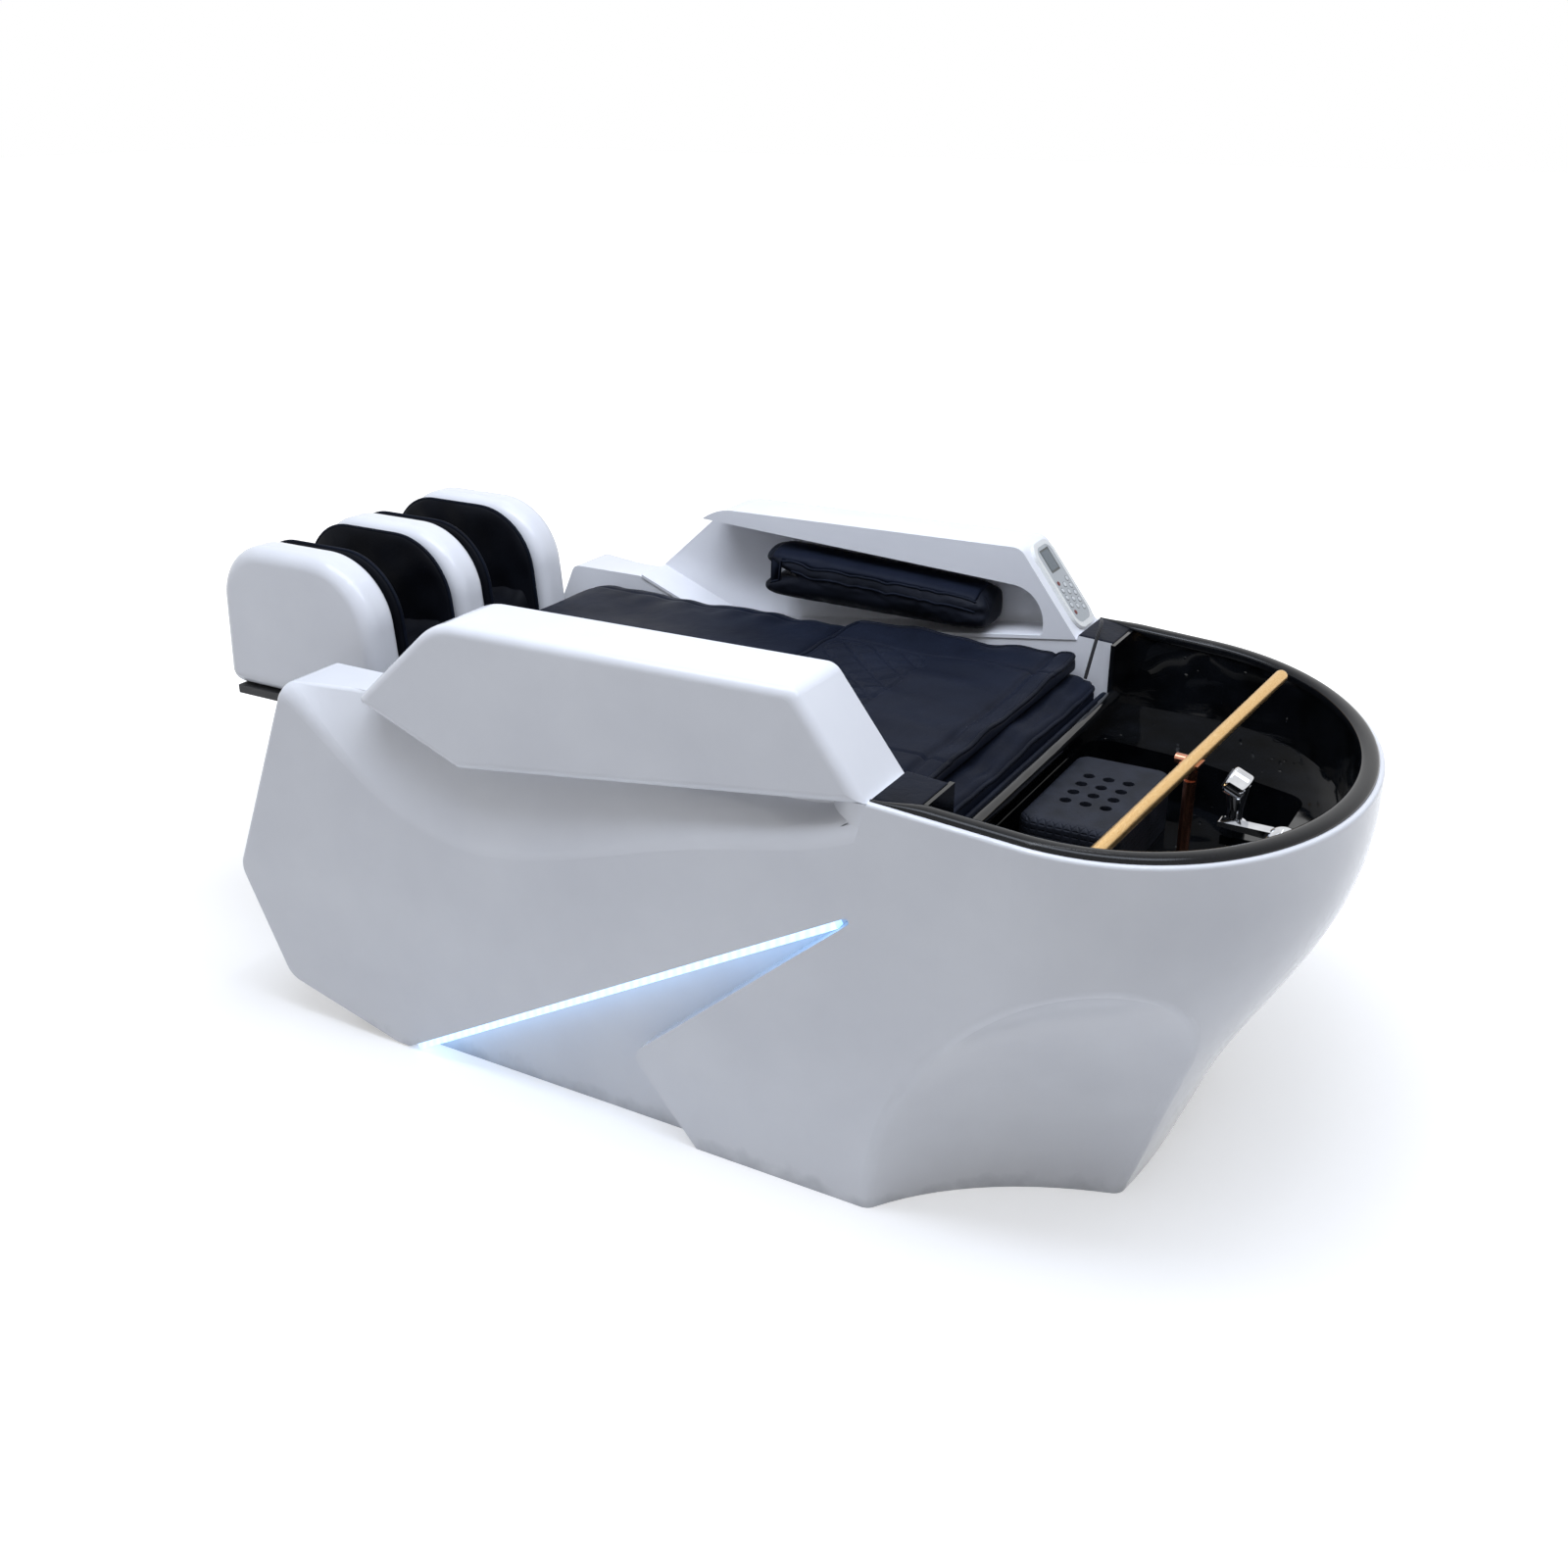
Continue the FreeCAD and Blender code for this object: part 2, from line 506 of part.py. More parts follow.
def rim_cut():
    """Block above the sloping rim plane."""
    start = S.bowl_centre_x - S.bowl_end_x
    far = S.bowl_end_x + S.overrun
    top = S.rim_start_z + 2 * S.overrun
    pairs = [(start, rim_height(start)), (far, rim_height(far)), (far, top), (start, top)]
    face = Part.Face(Part.makePolygon(side_points(pairs + pairs[:1])))
    return prism_y(face, -S.half_width - S.overrun, S.half_width + S.overrun)


def well(grow, floor, top):
    """Sunk well of the basin, narrowing to the head end."""
    rear = S.well_rear_x + grow
    pairs = [(S.well_front_x - grow, S.well_front_half + grow), (S.well_mid_x, S.well_mid_half + grow),
             (rear, S.well_rear_half + grow)]
    far_side = [Vector(x, y, floor) for x, y in pairs]
    near_side = [Vector(x, -y, floor) for x, y in reversed(pairs)]
    radius = S.well_radius + grow
    wire = rounded_wire(far_side + near_side, [radius] * len(pairs) * 2)
    return Part.Face(wire).extrude(Vector(0, 0, top - floor))


def bowl(front_x, foot_inset, top_inset, foot_z):
    """Bowl between two plan outlines, wider at the rim."""
    top = S.rim_start_z + S.overrun / 2
    wires = [head_outline(front_x, foot_inset, foot_z), head_outline(front_x, top_inset, top)]
    return Part.makeLoft(wires, True, True)


def wash_basin():
    """Black basin: bowl, well, neck wall with rounded rail, tap deck."""
    outer_inset = S.wall + S.basin_gap
    shell = bowl(S.neck_wall_x, S.bowl_foot_inset - S.basin_wall, outer_inset, S.ledge_z - S.basin_wall)
    sink = well(S.basin_wall, S.well_floor_z - S.basin_wall, S.ledge_z)
    space = bowl(S.neck_wall_x + S.basin_wall, S.bowl_foot_inset, S.bowl_lip, S.ledge_z)
    gap = block(S.neck_wall_x - S.overrun, S.neck_wall_x + S.basin_wall, -S.rail_half_length,
                S.rail_half_length, S.neck_gap_z, S.rim_start_z + S.overrun)
    shape = shell.fuse(sink).cut([space, well(0, S.well_floor_z, S.ledge_z + S.basin_wall), rim_cut(), gap])
    rail = Part.makeCylinder(S.rail_radius, 2 * S.rail_half_length,
                             Vector(S.neck_wall_x + S.rail_radius, -S.rail_half_length, S.neck_gap_z),
                             Vector(0, 1, 0))
    deck = space.common(block(S.tap_deck_x, S.bowl_end_x, S.tap_deck_near_y, S.tap_deck_far_y,
                              S.ledge_z - S.basin_wall / 2, S.tap_deck_z))
    arm_half = S.holder_radius - S.basin_wall / 2
    arm = block(S.handset_x - arm_half, S.tap_deck_x + S.basin_wall, S.handset_y - arm_half,
                S.handset_y + arm_half, S.tap_deck_z - S.holder_height, S.tap_deck_z)
    bore = Part.makeCylinder(S.handset_grip_radius + S.fit_gap, 2 * S.holder_height,
                             Vector(S.handset_x, S.handset_y, S.tap_deck_z - 2 * S.holder_height))
    drain = Part.makeCylinder(S.drain_pipe_radius, S.overrun,
                              Vector(S.drain_x, 0, S.well_floor_z - S.overrun / 2))
    grommet = Part.makeCylinder(S.grommet_radius, S.grommet_length + S.basin_wall / 2,
                                Vector(S.well_front_x - S.basin_wall / 2, S.hose_end_y, S.hose_low_z),
                                Vector(1, 0, 0))
    return shape.fuse([rail, deck, arm, grommet]).cut([drain, bore]).removeSplitter()


def rim_trim():
    """Half-round black trim round the rim, with a shoulder plate beside the neck on each side."""
    inset = S.trim_width / 2 + S.trim_inset
    half = S.half_width - inset
    reach = S.bowl_end_x - inset - S.bowl_centre_x
    unit = Part.Arc(Vector(0, -1, 0), Vector(1, 0, 0), Vector(0, 1, 0)).toShape()
    matrix = FreeCAD.Matrix()
    matrix.scale(Vector(reach, half, 1))
    curve = unit.transformGeometry(matrix)
    curve.translate(Vector(S.bowl_centre_x, 0, 0))
    start = Vector(S.rim_start_x, -half, 0)
    end = Vector(S.rim_start_x, half, 0)
    path = Part.Wire([Part.LineSegment(start, Vector(S.bowl_centre_x, -half, 0)).toShape(), curve,
                      Part.LineSegment(Vector(S.bowl_centre_x, half, 0), end).toShape()])
    section = [(-S.trim_width / 2, 0), (S.trim_width / 2, 0), (S.trim_width / 2, S.trim_height),
               (-S.trim_width / 2, S.trim_height)]
    points = [start + Vector(0, y, z) for y, z in section]
    profile = rounded_wire(points, [0, 0, S.trim_radius, S.trim_radius])
    shape = path.makePipeShell([profile], True, False)
    for side in SIDES.values():
        y0, y1 = sorted((side * S.trough_half_width, side * half))
        shape = shape.fuse(block(S.rim_start_x, S.neck_wall_x + S.basin_wall, y0, y1, 0, S.trim_height))
    shape = shape.removeSplitter()
    fall = math.degrees(math.atan2(S.rim_start_z - S.rim_end_z, S.bowl_end_x - S.rim_start_x))
    shape.rotate(Vector(S.rim_start_x, 0, 0), Vector(0, 1, 0), fall)
    shape.translate(Vector(0, 0, S.rim_start_z + S.seat_gap))
    return shape


def bent_tube(points, radius):
    """Tube of straight runs and tangent bends through hand-picked points."""
    edges = []
    last = points[0]
    for before, corner, after in zip(points, points[1:], points[2:]):
        back = before - corner
        ahead = after - corner
        half = back.getAngle(ahead) / 2
        reach = S.bend_share * min(back.Length, ahead.Length)
        bend = reach * math.tan(half)
        back.normalize()
        ahead.normalize()
        middle = (back + ahead).normalize() * (bend / math.sin(half) - bend)
        edges.append(Part.LineSegment(last, corner + back * reach).toShape())
        edges.append(Part.Arc(corner + back * reach, corner + middle, corner + ahead * reach).toShape())
        last = corner + ahead * reach
    edges.append(Part.LineSegment(last, points[-1]).toShape())
    path = Part.Wire(edges)
    circle = Part.Wire(Part.makeCircle(radius, points[0], points[1] - points[0]))
    return path.makePipeShell([circle], True, True)


def drain_trap():
    """Waste pipe from the well to the floor with its bends."""
    top = S.well_floor_z - S.basin_wall
    points = [Vector(S.drain_x, 0, top), Vector(S.drain_x, 0, S.trap_z),
              Vector(S.drain_outlet_x, 0, S.trap_z), Vector(S.drain_outlet_x, 0, S.pipe_foot_z)]
    return bent_tube(points, S.drain_pipe_radius)


def supply_tail(step):
    """One copper supply tail from under the tap deck to the floor."""
    x = S.tail_top_x - step * S.tail_step_x
    y = S.tail_top_y - step * S.tail_step_y
    low_y = S.supply_y - step * S.supply_pitch
    top = S.ledge_z - S.basin_wall - S.seat_gap
    points = [Vector(x, y, top), Vector(x, y, S.tail_knee_z), Vector(S.drain_outlet_x, low_y, S.tail_low_z),
              Vector(S.drain_outlet_x, low_y, S.pipe_foot_z)]
    return bent_tube(points, S.supply_radius)


def shower_hose():
    """Hose from the handset foot down into the well and along to its grommet."""
    grommet_x = S.well_front_x + S.grommet_length + S.seat_gap / 3
    points = [Vector(S.handset_x, S.handset_y, S.handset_foot_z - S.seat_gap),
              Vector(S.handset_x, S.handset_y, S.hose_drop_z),
              Vector(S.hose_knee_x, S.hose_knee_y, S.hose_knee_z),
              Vector(S.hose_turn_x, S.hose_turn_y, S.hose_low_z),
              Vector(S.hose_run_x, S.hose_run_y, S.hose_low_z),
              Vector(grommet_x, S.hose_end_y, S.hose_low_z)]
    return bent_tube(points, S.hose_radius)


def cushion(x0, x1, half_width, z0, z1, inset, crown):
    """Padded cushion: drawn-in foot, full middle and a crowned top."""
    rise = z1 - z0
    levels = [(0, inset / 3), (rise * S.cushion_swell_share, 0), (rise * S.cushion_draw_share, 0),
              (rise - crown, inset), (rise, 2 * inset)]
    wires = []
    for height, pull in levels:
        z = z0 + height
        points = [Vector(x0 + pull, -half_width + pull, z), Vector(x1 - pull, -half_width + pull, z),
                  Vector(x1 - pull, half_width - pull, z), Vector(x0 + pull, half_width - pull, z)]
        wires.append(rounded_wire(points, [S.cushion_radius] * len(points)))
    return Part.makeLoft(wires, True, True)


def airbag(side, upper):
    """One air cell of an arm sleeve, lofted between its two end sections."""
    wires = []
    front = (S.airbag_front_x, S.airbag_front_top, S.airbag_front_mouth, S.airbag_front_low)
    rear = (S.airbag_rear_x, S.airbag_rear_top, S.airbag_rear_mouth, S.airbag_rear_low)
    for x, top, mouth, low in (front, rear):
        z0 = mouth + S.airbag_mouth / 2 if upper else low
        z1 = top if upper else mouth - S.airbag_mouth / 2
        y0 = side * S.airbag_inner_y
        y1 = side * (S.niche_back_y - S.seat_gap)
        points = [Vector(x, y0, z0), Vector(x, y1, z0), Vector(x, y1, z1), Vector(x, y0, z1)]
        wires.append(rounded_wire(points, [S.airbag_radius] * len(points)))
    return Part.makeLoft(wires, True, True)


def side_half(z):
    """Half width of the drafted side at a height."""
    return S.ground_half_width + z / S.rim_start_z * (S.half_width - S.ground_half_width)


def light_strip(side):
    """Lit diffuser under the upper lip of the recess, following the drafted side."""
    tip = Vector(S.slot_tip_x, 0, S.slot_tip_z)
    foot = Vector(S.slot_floor_x, 0, 0)
    along = (foot - tip).normalize()
    down = Vector(along.z, 0, -along.x)
    if down.z > 0:
        down = down * -1
    wires = []
    for end in (tip + along * S.strip_tip_gap, foot - along * S.strip_foot_gap):
        outer = Vector(0, side * (side_half(end.z) - S.strip_sink), 0)
        inner = outer - Vector(0, side * S.strip_depth, 0)
        upper = end + down * S.seat_gap
        lower = upper + down * S.strip_width
        corners = [upper + outer, lower + outer, lower + inner, upper + inner]
        wires.append(Part.makePolygon(corners + corners[:1]))
    return Part.makeLoft(wires, True, True)


def fin_outline(inset):
    """Side outline of a leg massager fin, drawn in by an inset."""
    pairs = [(S.leg_front_x, S.leg_base_z), (S.leg_top_front_x, S.leg_top_z),
             (S.leg_top_rear_x, S.leg_top_z), (S.leg_rear_x, S.leg_base_z)]
    radii = [S.leg_foot_radius, S.leg_front_radius, S.leg_rear_radius, S.leg_foot_radius]
    face = Part.Face(rounded_wire(side_points(pairs), radii))
    if inset:
        face = face.makeOffset2D(-inset, 2)
    return face


def fin_half():
    """Half the thickness of a fin."""
    return S.fin_share * S.fin_pitch / 2


def leg_fin(centre_y):
    """White fin of the leg massager with rounded edges."""
    half = fin_half()
    shape = prism_y(fin_outline(0), centre_y - half, centre_y + half)
    rim = [edge for edge in shape.Edges if abs(abs(edge.CenterOfMass.y - centre_y) - half) < S.seat_gap
           and edge.CenterOfMass.z > S.leg_base_z + S.leg_foot_radius]
    return shape.makeFillet(S.fin_edge, rim)


def calf_liner(centre_y):
    """Padded U-shaped liner of one calf trough."""
    half = S.fin_pitch / 2 - fin_half() - S.seat_gap
    body = prism_y(fin_outline(S.liner_inset), centre_y - half, centre_y + half)
    base = block(S.leg_front_x + S.tray_inset, S.leg_rear_x - S.tray_inset, centre_y - half, centre_y + half,
                 S.leg_base_z + S.seat_gap, S.leg_base_z + 2 * S.liner_inset)
    inner = half * (1 - S.liner_side_share)
    radius = inner * S.liner_round_share
    top = S.leg_top_z + S.overrun
    corners = [(-inner, S.liner_floor_z), (inner, S.liner_floor_z), (inner, top), (-inner, top)]
    points = [Vector(S.leg_front_x - S.overrun, centre_y + y, z) for y, z in corners]
    face = Part.Face(rounded_wire(points, [radius, radius, 0, 0]))
    channel = face.extrude(Vector(S.leg_rear_x - S.leg_front_x + 2 * S.overrun, 0, 0))
    return body.fuse(base).cut(channel)


def leg_tray():
    """Black base plate of the leg massager with two hinge knuckles below."""
    top = S.leg_base_z - S.seat_gap
    low = top - S.tray_thickness
    half = S.fin_pitch + fin_half() - S.seat_gap
    shape = block(S.leg_front_x + S.tray_inset, S.leg_rear_x - S.seat_gap, -half, half, low, top)
    shapes = []
    bores = []
    for side in SIDES.values():
        y = side * S.knuckle_y - S.knuckle_width / 2
        along = Vector(0, 1, 0)
        start = Vector(S.hinge_x, y, S.hinge_z)
        shapes.append(Part.makeCylinder(S.knuckle_radius, S.knuckle_width, start, along))
        shapes.append(block(S.hinge_x - S.knuckle_radius, S.hinge_x + S.knuckle_radius, y, y + S.knuckle_width,
                            S.hinge_z, low + S.tray_thickness / 2))
        bores.append(Part.makeCylinder(S.hinge_pin_radius + S.bore_gap / 2, S.knuckle_width, start, along))
    return shape.fuse(shapes).cut(bores)


def hinge_brackets():
    """Ears on the rear wall of the foot bay that hold the hinge pin."""
    shapes = []
    for side in SIDES.values():
        for ear in SIDES.values():
            centre = side * S.knuckle_y + ear * (S.knuckle_width / 2 + S.ear_gap + S.ear_width / 2)
            y = centre - S.ear_width / 2
            along = Vector(0, 1, 0)
            shape = Part.makeCylinder(S.knuckle_radius, S.ear_width, Vector(S.hinge_x, y, S.hinge_z), along)
            web = block(S.hinge_x, S.foot_bay_x - S.seat_gap / 3, y, y + S.ear_width,
                        S.hinge_z - S.knuckle_radius, S.hinge_z + S.knuckle_radius)
            bore = Part.makeCylinder(S.hinge_pin_radius + S.bore_gap / 2, S.ear_width,
                                     Vector(S.hinge_x, y, S.hinge_z), along)
            shapes.append(shape.fuse(web).cut(bore))
    return Part.makeCompound(shapes)


def massage_carriage():
    """Carriage on two rods with cheeks for the kneading shaft and a nut for the screw."""
    mid = (S.deck_slot_front_x + S.deck_slot_rear_x) / 2
    half = S.carriage_length / 2
    low = S.rail_rod_z - S.carriage_height / 2
    plate = block(mid - half, mid + half, -S.carriage_half_width, S.carriage_half_width, low,
                  low + S.carriage_height)
    window = block(mid - S.carriage_window_length / 2, mid + S.carriage_window_length / 2,
                   -S.carriage_window_half, S.carriage_window_half, low - S.overrun, S.deck_z)
    cheeks = []
    for side in SIDES.values():
        y = side * S.carriage_window_half
        y0, y1 = sorted((y, y + side * S.cheek_thickness))
        cheeks.append(block(mid - S.nut_block, mid + S.nut_block, y0, y1, S.rail_rod_z,
                            S.shaft_z + S.shaft_radius * 2))
    nut = block(mid + S.carriage_window_length / 2, mid + half, -S.nut_block / 2, S.nut_block / 2,
                S.screw_z - S.nut_block / 2, S.rail_rod_z)
    along = Vector(1, 0, 0)
    bores = [Part.makeCylinder(S.shaft_radius + S.bore_gap / 2, 2 * S.half_width,
                               Vector(mid, -S.half_width, S.shaft_z), Vector(0, 1, 0)),
             Part.makeCylinder(S.screw_radius + S.bore_gap / 2, S.carriage_length * 2,
                               Vector(mid - S.carriage_length, 0, S.screw_z), along)]
    for side in SIDES.values():
        start = Vector(mid - S.carriage_length, side * S.rail_rod_y, S.rail_rod_z)
        bores.append(Part.makeCylinder(S.rail_rod_radius + S.bore_gap / 2, S.carriage_length * 2, start, along))
    return plate.cut(window).fuse(cheeks + [nut]).cut(bores)


def kneading_rollers():
    """Two eccentric rollers set half a turn apart on the kneading shaft."""
    mid = (S.deck_slot_front_x + S.deck_slot_rear_x) / 2
    shapes = []
    for side in SIDES.values():
        y = side * S.roller_y - S.roller_width / 2
        centre = Vector(mid, y, S.shaft_z + side * S.roller_offset)
        roller = Part.makeCylinder(S.roller_radius, S.roller_width, centre, Vector(0, 1, 0))
        rims = [edge for edge in roller.Edges if len(edge.Vertexes) == 1]
        roller = roller.makeFillet(S.roller_width / 3, rims)
        bore = Part.makeCylinder(S.shaft_radius, S.roller_width, Vector(mid, y, S.shaft_z), Vector(0, 1, 0))
        shapes.append(roller.cut(bore))
    return Part.makeCompound(shapes)


def number(expression):
    """Value of an expression written in the sheet's cells."""
    return float(sheet.evalExpression(formula(expression).replace("dims.", "")))


def new_sketch(body, name, role, lift=None):
    """Sketch on one of the body's own origin planes, lifted along its normal if asked."""
    sketch = body.newObject("Sketcher::SketchObject", name)
    plane = [item for item in body.Origin.OriginFeatures if item.Role == role][0]
    sketch.AttachmentSupport = [(plane, "")]
    sketch.MapMode = "FlatFace"
    if lift is not None:
        sketch.setExpression("AttachmentOffset.Base.z", formula(lift))
    return sketch


def pin_point(sketch, geometry, vertex, across, up):
    """Tie a sketch point to the sheet, measured from the sketch's origin."""
    for kind, expression in (("DistanceX", across), ("DistanceY", up)):
        index = sketch.addConstraint(Sketcher.Constraint(kind, -1, 1, geometry, vertex, number(expression)))
        sketch.setExpression(f"Constraints[{index}]", formula(expression))


def draw_polygon(sketch, corners):
    """Closed polygon whose corners are expressions."""
    points = [Vector(number(across), number(up), 0) for across, up in corners]
    base = sketch.GeometryCount
    count = len(points)
    for index in range(count):
        sketch.addGeometry(Part.LineSegment(points[index], points[(index + 1) % count]), False)
    for index in range(count):
        sketch.addConstraint(Sketcher.Constraint("Coincident", base + index, 2, base + (index + 1) % count, 1))
    for index, (across, up) in enumerate(corners):
        pin_point(sketch, base + index, 1, across, up)


def draw_rectangle(sketch, length, width, across="0", up="0"):
    """Rectangle about a centre."""
    low, high = f"{across} - ({length}) / 2", f"{across} + ({length}) / 2"
    near, far = f"{up} - ({width}) / 2", f"{up} + ({width}) / 2"
    draw_polygon(sketch, [(low, near), (high, near), (high, far), (low, far)])


def draw_circle(sketch, across, up, radius):
    """Circle whose centre and radius are expressions."""
    centre = Vector(number(across), number(up), 0)
    geometry = sketch.addGeometry(Part.Circle(centre, Vector(0, 0, 1), number(radius)), False)
    pin_point(sketch, geometry, 3, across, up)
    index = sketch.addConstraint(Sketcher.Constraint("Radius", geometry, number(radius)))
    sketch.setExpression(f"Constraints[{index}]", formula(radius))


def new_body(label):
    """Empty body listed as a sub-part."""
    return keep(label, doc.addObject("PartDesign::Body", label))


def pad(body, sketch, length):
    """Pad a sketch along its normal."""
    item = body.newObject("PartDesign::Pad", f"{body.Name}_pad")
    item.Profile = sketch
    item.setExpression("Length", formula(length))
    body.Tip = item
    doc.recompute()
    return item


def pocket(body, sketch, depth=None):
    """Pocket a sketch to a depth, or right through both ways."""
    item = body.newObject("PartDesign::Pocket", f"{body.Name}_pocket")
    item.Profile = sketch
    if depth is None:
        item.Type = "ThroughAll"
        item.SideType = "Symmetric"
    else:
        item.setExpression("Length", formula(depth))
    body.Tip = item
    doc.recompute()
    return item


def round_edges(body, radius, chosen):
    """Fillet the tip's edges that a test picks."""
    base = body.Tip
    names = [f"Edge{index}" for index, edge in enumerate(base.Shape.Edges, start=1) if chosen(edge)]
    item = body.newObject("PartDesign::Fillet", f"{body.Name}_fillet")
    item.Base = (base, names)
    item.setExpression("Radius", formula(radius))
    body.Tip = item
    doc.recompute()
    return item


def upright(edge):
    """True for straight edges along the body's own Z."""
    first, last = edge.Vertexes[0].Point, edge.Vertexes[-1].Point
    return len(edge.Vertexes) == 2 and abs(last.z - first.z) > (last - first).Length / 2


def plate(label, length, width, thickness):
    """Rectangular plate body standing on its own XY plane."""
    body = new_body(label)
    sketch = new_sketch(body, f"{label}_outline", "XY_Plane")
    draw_rectangle(sketch, length, width)
    pad(body, sketch, thickness)
    return body


def turned(label, profile):
    """Body turned about its own Z from a half profile of radius and height."""
    body = new_body(label)
    sketch = new_sketch(body, f"{label}_profile", "XZ_Plane")
    draw_polygon(sketch, profile)
    item = body.newObject("PartDesign::Revolution", f"{label}_turn")
    item.Profile = sketch
    item.ReferenceAxis = (sketch, ["V_Axis"])
    body.Tip = item
    doc.recompute()
    return body


def make_hull():
    """Hull, armrests, basin, trim and light strips."""
    feature("outer_hull", outer_hull())
    for name, side in SIDES.items():
        feature(f"{name}_armrest_shell", armrest(side))
    feature("wash_basin", wash_basin())
    feature("basin_rim_trim", rim_trim())
    feature("light_strips", Part.makeCompound([light_strip(side) for side in SIDES.values()]))


def make_plumbing():
    """Drain, supply tails, spray bar, mixer and handset."""
    strainer = turned("drain_strainer", [("0", "0"), ("dims.drain_pipe_radius - dims.fit_gap", "0"),
                                         ("dims.drain_pipe_radius - dims.fit_gap", "dims.basin_wall"),
                                         ("dims.drain_radius", "dims.basin_wall + dims.seat_gap / 3"),
                                         ("dims.drain_radius", "dims.basin_wall + dims.strainer_lip"),
                                         ("0", "dims.basin_wall + dims.strainer_lip")])
    place(strainer, "dims.drain_x", "0", "dims.well_floor_z - dims.basin_wall")
    holes = new_sketch(strainer, "strainer_holes", "XY_Plane")
    for step in range(6):
        angle = f"{step * 60}"
        ring = "dims.drain_pipe_radius * dims.strainer_ring_share"
        draw_circle(holes, f"{ring} * cos({angle})", f"{ring} * sin({angle})",
                    "dims.drain_pipe_radius * dims.strainer_hole_share")
    pocket(strainer, holes)
    feature("drain_trap", drain_trap())
    feature("supply_tails", Part.makeCompound([supply_tail(0), supply_tail(1)]))
    feature("shower_hose", shower_hose())
    make_spray_bar()
    make_mixer()
    make_handset()


def bar_frame():
    """Placement of the spray bar: its own Y along the bar, its own Z along the swivel."""
    tilt = Rotation(Vector(0, 0, 1), S.bar_yaw) * Rotation(Vector(1, 0, 0), S.bar_rise)
    return Placement(Vector(S.bar_x, 0, S.bar_z), tilt)


def make_spray_bar():
    """Gold spray bar on a copper union over a black stem."""
    along = Vector(0, 1, 0)
    bar = Part.makeCylinder(S.bar_radius, 2 * S.bar_half_length, Vector(0, -S.bar_half_length, 0), along)
    for side in SIDES.values():
        bar = bar.fuse(Part.makeSphere(S.bar_radius, Vector(0, side * S.bar_half_length, 0)))
    reach = S.union_length / 2
    collar = Part.makeCylinder(S.union_radius, S.union_length, Vector(0, -reach, 0), along)
    above = block(-S.overrun, S.overrun, -S.overrun, S.overrun, 0, S.overrun)
    neck = Part.makeCylinder(S.stem_radius, S.union_radius, Vector(0, 0, -2 * S.union_radius))
    stub = Part.makeCylinder(S.stub_radius, S.stub_length, Vector(0, 0, 0), Vector(-1, 0, 0))
    bore = Part.makeCylinder(S.bar_radius, S.overrun, Vector(0, -S.overrun / 2, 0), along)
    union = collar.cut(above).fuse([neck, stub]).cut(bore)
    drop = -2 * S.union_radius - S.seat_gap
    foot = Vector(S.bar_x, 0, S.well_floor_z + S.seat_gap / 3)
    head = bar_frame().multVec(Vector(0, 0, 0))
    over = block(-S.overrun, S.overrun, -S.overrun, S.overrun, drop, drop + 2 * S.overrun)
    over.Placement = bar_frame()
    post = Part.makeCylinder(S.stem_radius, (head - foot).Length, foot, head - foot).cut(over)
    flange = Part.makeCylinder(2 * S.stem_radius, S.mixer_flange, foot)
    feature("spray_bar", bar).Placement = bar_frame()
    feature("spray_bar_union", union).Placement = bar_frame()
    feature("spray_bar_stem", post.fuse(flange))


def make_mixer():
    """Single-lever mixer: fixed base, turning stem and the domed lever on its pin."""
    base = turned("mixer_base", [("0", "0"), ("dims.mixer_flange_radius", "0"),
                                 ("dims.mixer_flange_radius", "dims.mixer_flange"),
                                 ("dims.mixer_neck_radius", "dims.mixer_flange"),
                                 ("dims.mixer_neck_radius", "dims.mixer_neck_top"),
                                 ("0", "dims.mixer_neck_top")])
    place(base, "dims.mixer_x", "0 - dims.half_width * dims.mixer_side_share",
          "dims.tap_deck_z + dims.seat_gap / 3")
    pivot = Vector(S.mixer_x, -S.half_width * S.mixer_side_share, S.tap_deck_z + S.mixer_pivot)
    stem_foot = S.tap_deck_z + S.mixer_neck_top + S.seat_gap
    stem = Part.makeCylinder(S.mixer_stem_radius, S.mixer_pivot - S.mixer_neck_top + S.mixer_stem_radius / 2,
                             Vector(pivot.x, pivot.y, stem_foot))
    pin_bore = Part.makeCylinder(S.mixer_pin_radius + S.bore_gap / 2, 2 * S.mixer_dome_radius,
                                 pivot - Vector(0, S.mixer_dome_radius, 0), Vector(0, 1, 0))
    feature("mixer_stem", stem.cut(pin_bore))
    ball = Part.makeSphere(S.mixer_dome_radius, pivot)
    hollow = Part.makeSphere(S.mixer_dome_radius - S.mixer_dome_wall, pivot)
    below = Part.makeCylinder(2 * S.mixer_dome_radius, S.mixer_dome_radius,
                              pivot - Vector(0, 0, S.mixer_dome_radius + S.mixer_dome_wall))
    reach = S.mixer_dome_radius - S.mixer_dome_wall / 2
    pin = Part.makeCylinder(S.mixer_pin_radius, 2 * reach, pivot - Vector(0, reach, 0), Vector(0, 1, 0))
    root = -S.mixer_dome_radius * S.lever_root_share
    outline = [(root, S.lever_thickness), (-S.lever_length, S.lever_rise),
               (-S.lever_length, S.lever_rise + S.lever_thickness),
               (root, S.lever_thickness * S.lever_taper_share)]
    points = [pivot + Vector(x, 0, z) for x, z in outline]
    face = Part.Face(rounded_wire(points, [0, S.lever_thickness / 3, S.lever_thickness / 3, 0]))
    face.translate(Vector(0, -S.lever_width / 2, 0))
    blade = face.extrude(Vector(0, S.lever_width, 0))
    feature("mixer_lever", ball.fuse(blade).cut([hollow, below]).fuse(pin))


